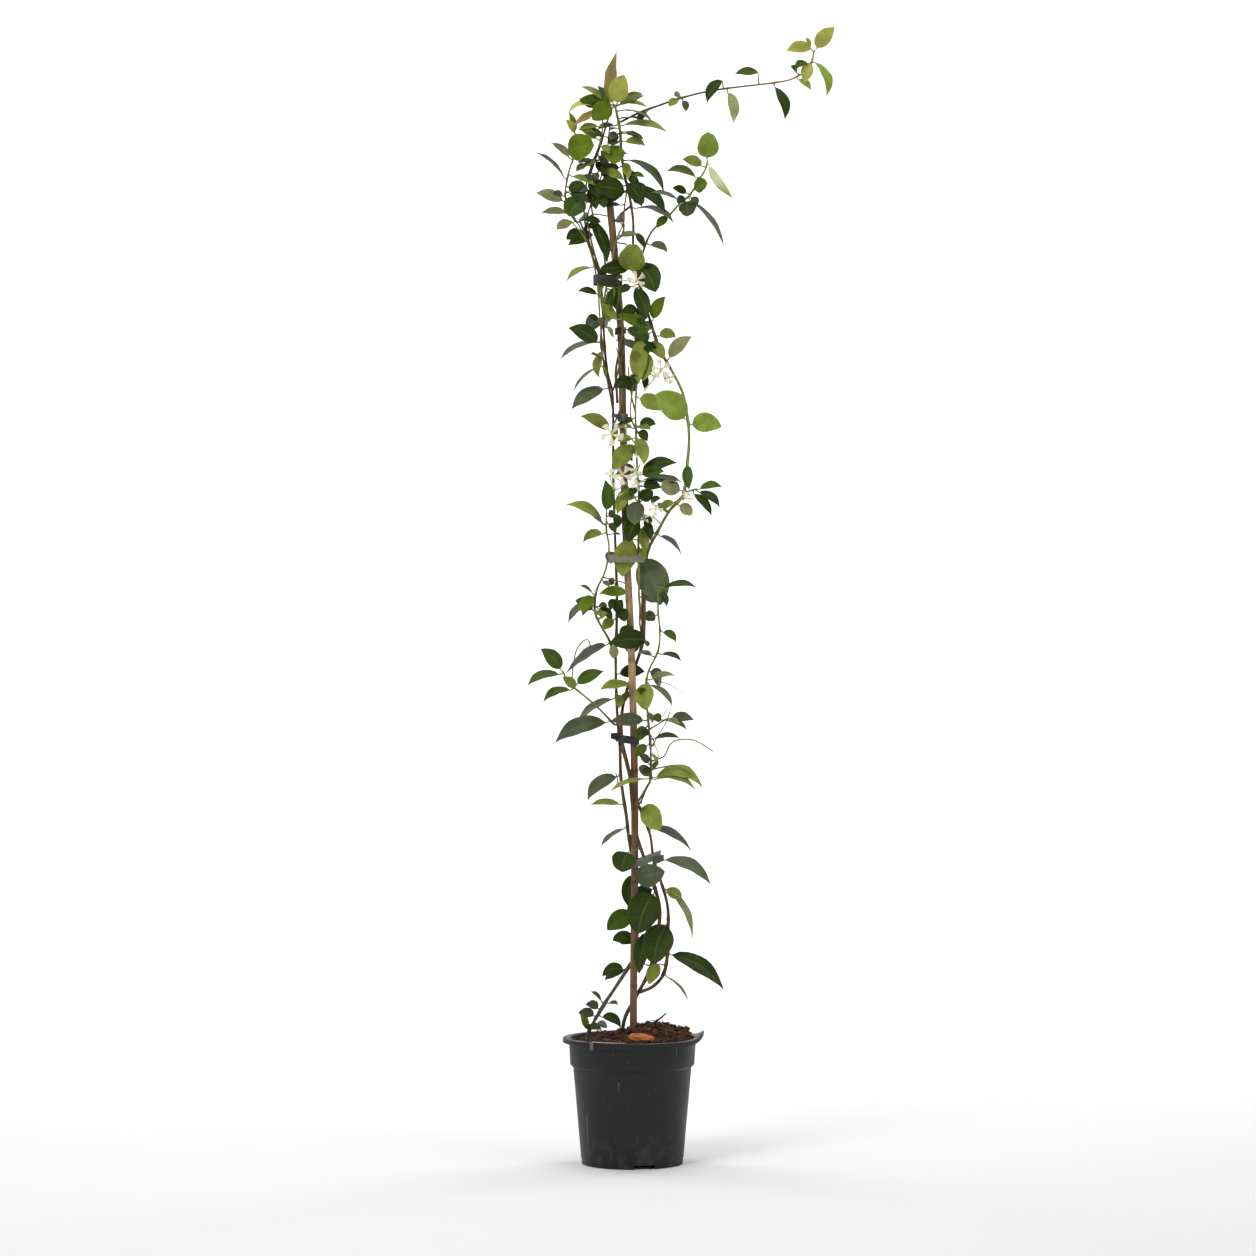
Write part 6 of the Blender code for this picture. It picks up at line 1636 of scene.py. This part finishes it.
def peat_finish():
    """Damp, crumbly peat."""
    made = Finish("damp_peat", Specular_IOR_Level=0.2)
    return made.grained(made.noise(900.0, 5.0), (0.25, 0.75, 0.5, 1.5), (0.3, 0.7, 0.8, 0.98), (0.0012, 0.9))


def chip_finish():
    """Torn bark: orange wood with darker layers."""
    made = Finish("torn_bark", Specular_IOR_Level=0.2)
    layers = made.noise(420.0, 4.0, (0.2, 1, 1))
    colour = made.scaled(made.tint(), made.span(layers, 0.3, 0.7, 0.55, 1.25))
    colour = made.mix(made.span(made.noise(130.0, 3.0), 0.55, 0.75, 0.0, 0.7), colour, linear(0.42, 0.22, 0.13))
    return made.done(colour, made.span(layers, 0.3, 0.7, 0.7, 0.9), made.bump(layers, 0.0008, 0.8))


def strip_finish():
    """Thin glossy black film with creases."""
    made = Finish("black_film", Specular_IOR_Level=0.5)
    return made.grained(made.noise(180.0, 3.0), (0.3, 0.7, 0.8, 1.6), (0.3, 0.7, 0.25, 0.45), (0.0006, 0.6))


def stage_finish():
    """Plain pale floor."""
    stage = bpy.context.scene.jasmine_stage
    made = Finish("pale_floor", Roughness=0.9, Specular_IOR_Level=0.1)
    cloud = made.noise(1.5, 2.0)
    base = tuple(stage.floor)
    return made.done(made.mix(made.span(cloud, 0.3, 0.7, 0.0, 0.05), base, shade(base, 0.96)))


# ---------------------------------------------------------------- stage

def make_floor():
    """A pale floor that sweeps up behind the plant."""
    work = bmesh.new()
    front = [work.verts.new((x, FLOOR_FRONT, 0)) for x in (-FLOOR_HALF, FLOOR_HALF)]
    edges = [work.edges.new(front)]
    angles = [math.pi / 2 * part / SWEEP_PARTS for part in range(1, SWEEP_PARTS + 1)]
    bends = [(SWEEP_START + SWEEP_RADIUS * math.sin(angle), SWEEP_RADIUS - SWEEP_RADIUS * math.cos(angle))
             for angle in angles]
    depth, height = FLOOR_FRONT, 0.0
    for y, z in [(SWEEP_START, 0.0), *bends, (SWEEP_START + SWEEP_RADIUS, SWEEP_TOP)]:
        grown = bmesh.ops.extrude_edge_only(work, edges=edges)["geom"]
        edges = of_kind(grown, bmesh.types.BMEdge)
        bmesh.ops.translate(work, vec=(0, y - depth, z - height), verts=of_kind(grown, bmesh.types.BMVert))
        depth, height = y, z
    bmesh.ops.recalc_face_normals(work, faces=work.faces)
    floor = as_object("floor", work)
    floor.data.shade_smooth()
    floor.data.materials.append(stage_finish())


def make_lamp(name, place, aim, size, power):
    """A soft rectangular lamp that points at its aim."""
    scene = bpy.context.scene
    data = bpy.data.lights.new(name, "AREA")
    data.shape = "RECTANGLE"
    data.size, data.size_y = size
    data.energy = power * scene.jasmine_stage.light
    lamp = bpy.data.objects.new(name, data)
    lamp.location = place
    lamp.rotation_euler = (Vector(aim) - Vector(place)).to_track_quat("-Z", "Y").to_euler()
    scene.collection.objects.link(lamp)


def make_camera():
    """The camera, level and at the eye that the places were read from."""
    scene = bpy.context.scene
    data = bpy.data.cameras.new("camera")
    data.lens = scene.jasmine_stage.focal
    data.sensor_width = SENSOR_WIDTH
    data.clip_end = 50.0
    camera = bpy.data.objects.new("camera", data)
    camera.location = (EYE_X * MM, -EYE_DISTANCE * MM, EYE_Z * MM)
    camera.rotation_euler = (math.pi / 2, 0, 0)
    scene.collection.objects.link(camera)
    scene.camera = camera


def make_stage():
    """The floor, the lamps, the surrounding light and the camera."""
    scene = bpy.context.scene
    make_floor()
    for lamp in LAMPS:
        make_lamp(*lamp)
    scene.world = scene.world or bpy.data.worlds.new("studio")
    scene.world.use_nodes = True
    nodes = scene.world.node_tree.nodes
    sky = nodes.get("Background") or nodes.new("ShaderNodeBackground")
    sky.inputs["Color"].default_value = (1.0, 1.0, 1.0, 1.0)
    sky.inputs["Strength"].default_value = scene.jasmine_stage.ambient
    scene.view_settings.view_transform = "Standard"
    make_camera()


# ---------------------------------------------------------------- settings, operators and panel

def hue(name, description, default):
    return FloatVectorProperty(name=name, description=description, default=default, subtype="COLOR", size=3,
                               min=0.0, max=1.0)


def measure(name, description, default, low, high):
    return FloatProperty(name=name, description=description, default=default, min=low, max=high,
                         subtype="DISTANCE", unit="LENGTH")


def factor(name, description, default, high=1.0):
    return FloatProperty(name=name, description=description, default=default, min=0.0, max=high, subtype="FACTOR")


def whole(name, description, default, low, high):
    return IntProperty(name=name, description=description, default=default, min=low, max=high)


class JasmineFoliage(bpy.types.PropertyGroup):
    """Sizes and screen colours of the leaves and stems."""
    leaf_thickness: measure("Leaf thickness", "Thickness of a blade", 0.0005, 0.0002, 0.001)
    margin_wave: factor("Margin wave", "Height of the waves along a blade's margin", 0.10, 0.3)
    leaf_gloss: factor("Leaf gloss", "Gloss of the leaves' upper side", 0.16)
    stem_sides: whole("Stem sides", "Sides round each stem", 9, 5, 16)
    # Dark leaf: the deep green of old leaves with painted shade
    dark: hue("Dark leaf", "Old leaves in the shade", (0.18, 0.245, 0.05))
    # Leaf with sheen: painted sheen of old leaves that catch the light
    sheen: hue("Leaf with sheen", "Old leaves that catch the light", (0.33, 0.36, 0.26))
    middle: hue("Middle leaf", "Grown leaves", (0.26, 0.36, 0.08))
    bright: hue("Bright leaf", "Young grown leaves", (0.37, 0.45, 0.06))
    olive: hue("Olive leaf", "Paler grown leaves", (0.49, 0.53, 0.21))
    light: hue("Light leaf", "Young leaves", (0.53, 0.60, 0.24))
    yellow: hue("Yellow leaf", "The youngest leaves", (0.665, 0.665, 0.31))
    pale: hue("Pale underside", "Undersides of grown leaves", (0.545, 0.555, 0.38))
    bronze: hue("Bronze leaf", "Reddish new leaves", (0.59, 0.505, 0.28))
    grey: hue("Grey underside", "Undersides of old leaves", (0.38, 0.40, 0.36))
    cream: hue("Cream leaf", "The variegated leaf", (0.84, 0.87, 0.68))
    old_bark: hue("Old bark", "Stems near the cane", (0.33, 0.22, 0.17))
    foot_bark: hue("Foot bark", "The vines' greyer feet", (0.34, 0.32, 0.29))
    red_bark: hue("Red bark", "The reddish stretch of the right vine", (0.46, 0.28, 0.19))
    young_bark: hue("Young bark", "Shoots and leaf stalks", (0.52, 0.54, 0.28))


class JasmineFlowers(bpy.types.PropertyGroup):
    """Sizes and screen colours of the flower sprays."""
    petal_thickness: measure("Petal thickness", "Thickness of a petal", 0.0004, 0.0002, 0.001)
    petal: hue("Petal", "Petals and opening buds", (0.92, 0.90, 0.80))
    throat: hue("Throat", "Middle of a flower", (0.85, 0.80, 0.54))
    stalk: hue("Flower stalk", "Stalks and calyxes", (0.60, 0.62, 0.36))


class JasmineSupports(bpy.types.PropertyGroup):
    """Sides and screen colours of the cane."""
    cane_sides: whole("Cane sides", "Sides round the cane", 16, 8, 32)
    cane_pale: hue("Pale cane", "Clean stretch of the bamboo", (0.74, 0.60, 0.44))
    cane_brown: hue("Brown cane", "Weathered bamboo", (0.46, 0.35, 0.245))


class JasminePot(bpy.types.PropertyGroup):
    """Sizes and screen colours of the pot and its peat."""
    pot_sides: whole("Pot sides", "Sides round the pot", 132, 36, 180)
    edge_round: measure("Edge rounding", "Radius of the pot's edges", 0.0005, 0.0001, 0.001)
    wear: factor("Wear", "Strength of scratches and dust", 0.8)
    clods: whole("Clods", "Loose clods on the peat", 1500, 0, 3000)
    fibres: whole("Fibres", "Loose bark fibres on the peat", 320, 0, 1000)
    plastic: hue("Plastic", "The pot's plastic", (0.115, 0.113, 0.118))
    peat_dark: hue("Dark peat", "Damp peat", (0.13, 0.085, 0.07))
    peat_red: hue("Red peat", "Dry fibrous peat", (0.36, 0.245, 0.18))
    fibre: hue("Fibre", "Bark fibres", (0.55, 0.38, 0.26))
    bark_chip: hue("Bark chip", "The chip of bark", (0.80, 0.47, 0.25))


class JasmineStage(bpy.types.PropertyGroup):
    """Floor, light and camera."""
    floor: hue("Floor", "The pale floor", (0.86, 0.86, 0.86))
    light: FloatProperty(name="Light", description="Strength of all lamps", default=1.0, min=0.0, max=4.0)
    ambient: FloatProperty(name="Ambient", description="Strength of the surrounding light", default=0.3, min=0.0,
                           max=2.0)
    focal: FloatProperty(name="Focal length", description="The camera's focal length in millimetres",
                         default=3900 / 1256 * SENSOR_WIDTH, min=20.0, max=300.0)


class JASMINE_OT_stage(bpy.types.Operator):
    """Makes the pale floor, the soft lights and the camera"""
    bl_idname = "jasmine.stage"
    bl_label = "Stage"
    bl_options = {"REGISTER", "UNDO"}

    def execute(self, context):
        make_stage()
        return {"FINISHED"}


class JASMINE_OT_pot(bpy.types.Operator):
    """Makes the nursery pot"""
    bl_idname = "jasmine.pot"
    bl_label = "Pot"
    bl_options = {"REGISTER", "UNDO"}

    def execute(self, context):
        make_pot()
        return {"FINISHED"}


class JASMINE_OT_peat(bpy.types.Operator):
    """Makes the peat with its clods and fibres"""
    bl_idname = "jasmine.peat"
    bl_label = "Peat"
    bl_options = {"REGISTER", "UNDO"}

    def execute(self, context):
        make_soil()
        return {"FINISHED"}


class JASMINE_OT_bark(bpy.types.Operator):
    """Makes the chip of bark on the peat"""
    bl_idname = "jasmine.bark"
    bl_label = "Bark Chip"
    bl_options = {"REGISTER", "UNDO"}

    def execute(self, context):
        make_bark_chip()
        return {"FINISHED"}


class JASMINE_OT_strip(bpy.types.Operator):
    """Makes the thin black strip on the rim"""
    bl_idname = "jasmine.strip"
    bl_label = "Rim Strip"
    bl_options = {"REGISTER", "UNDO"}

    def execute(self, context):
        make_strip()
        return {"FINISHED"}


class JASMINE_OT_cane(bpy.types.Operator):
    """Makes the bamboo cane"""
    bl_idname = "jasmine.cane"
    bl_label = "Cane"
    bl_options = {"REGISTER", "UNDO"}

    def execute(self, context):
        make_cane()
        return {"FINISHED"}


class JASMINE_OT_ties(bpy.types.Operator):
    """Makes the plastic ties"""
    bl_idname = "jasmine.ties"
    bl_label = "Ties"
    bl_options = {"REGISTER", "UNDO"}

    def execute(self, context):
        make_ties()
        return {"FINISHED"}


class JASMINE_OT_vines(bpy.types.Operator):
    """Makes the three vines that twine up the cane"""
    bl_idname = "jasmine.vines"
    bl_label = "Vines"
    bl_options = {"REGISTER", "UNDO"}

    def execute(self, context):
        make_greenery(VINE_NAMES)
        return {"FINISHED"}


class JASMINE_OT_shoots(bpy.types.Operator):
    """Makes the grown side shoots"""
    bl_idname = "jasmine.shoots"
    bl_label = "Shoots"
    bl_options = {"REGISTER", "UNDO"}

    def execute(self, context):
        make_greenery(SHOOT_NAMES)
        return {"FINISHED"}


class JASMINE_OT_young_shoots(bpy.types.Operator):
    """Makes the young shoots at the top"""
    bl_idname = "jasmine.young_shoots"
    bl_label = "Young Shoots"
    bl_options = {"REGISTER", "UNDO"}

    def execute(self, context):
        make_greenery(YOUNG_NAMES)
        return {"FINISHED"}


class JASMINE_OT_sprays(bpy.types.Operator):
    """Makes the sprays of flowers and buds"""
    bl_idname = "jasmine.sprays"
    bl_label = "Flower Sprays"
    bl_options = {"REGISTER", "UNDO"}

    def execute(self, context):
        make_sprays()
        return {"FINISHED"}


MAKERS = (
    JASMINE_OT_stage,
    JASMINE_OT_pot,
    JASMINE_OT_peat,
    JASMINE_OT_bark,
    JASMINE_OT_strip,
    JASMINE_OT_cane,
    JASMINE_OT_ties,
    JASMINE_OT_vines,
    JASMINE_OT_shoots,
    JASMINE_OT_young_shoots,
    JASMINE_OT_sprays,
)
SETTINGS = (
    ("jasmine_foliage", JasmineFoliage), ("jasmine_flowers", JasmineFlowers), ("jasmine_supports", JasmineSupports),
    ("jasmine_pot", JasminePot), ("jasmine_stage", JasmineStage),
)


class JASMINE_PT_panel(bpy.types.Panel):
    """Lists the makers and their settings in the sidebar"""
    bl_idname = "JASMINE_PT_panel"
    bl_label = "Potted Star Jasmine"
    bl_space_type = "VIEW_3D"
    bl_region_type = "UI"
    bl_category = "Jasmine"

    def draw(self, context):
        for maker in MAKERS:
            self.layout.operator(maker.bl_idname)
        for name, group in SETTINGS:
            box = self.layout.box()
            box.label(text=group.__name__.replace("Jasmine", ""))
            for key in group.__annotations__:
                box.prop(getattr(context.scene, name), key)


def register():
    for name, group in SETTINGS:
        bpy.utils.register_class(group)
        setattr(bpy.types.Scene, name, PointerProperty(type=group))
    for item in (*MAKERS, JASMINE_PT_panel):
        bpy.utils.register_class(item)


def unregister():
    for item in (JASMINE_PT_panel, *reversed(MAKERS)):
        bpy.utils.unregister_class(item)
    for name, group in reversed(SETTINGS):
        delattr(bpy.types.Scene, name)
        bpy.utils.unregister_class(group)


def main():
    register()
    for maker in MAKERS:
        getattr(bpy.ops.jasmine, maker.bl_idname.split(".")[1])()


if __name__ == "__main__":
    main()
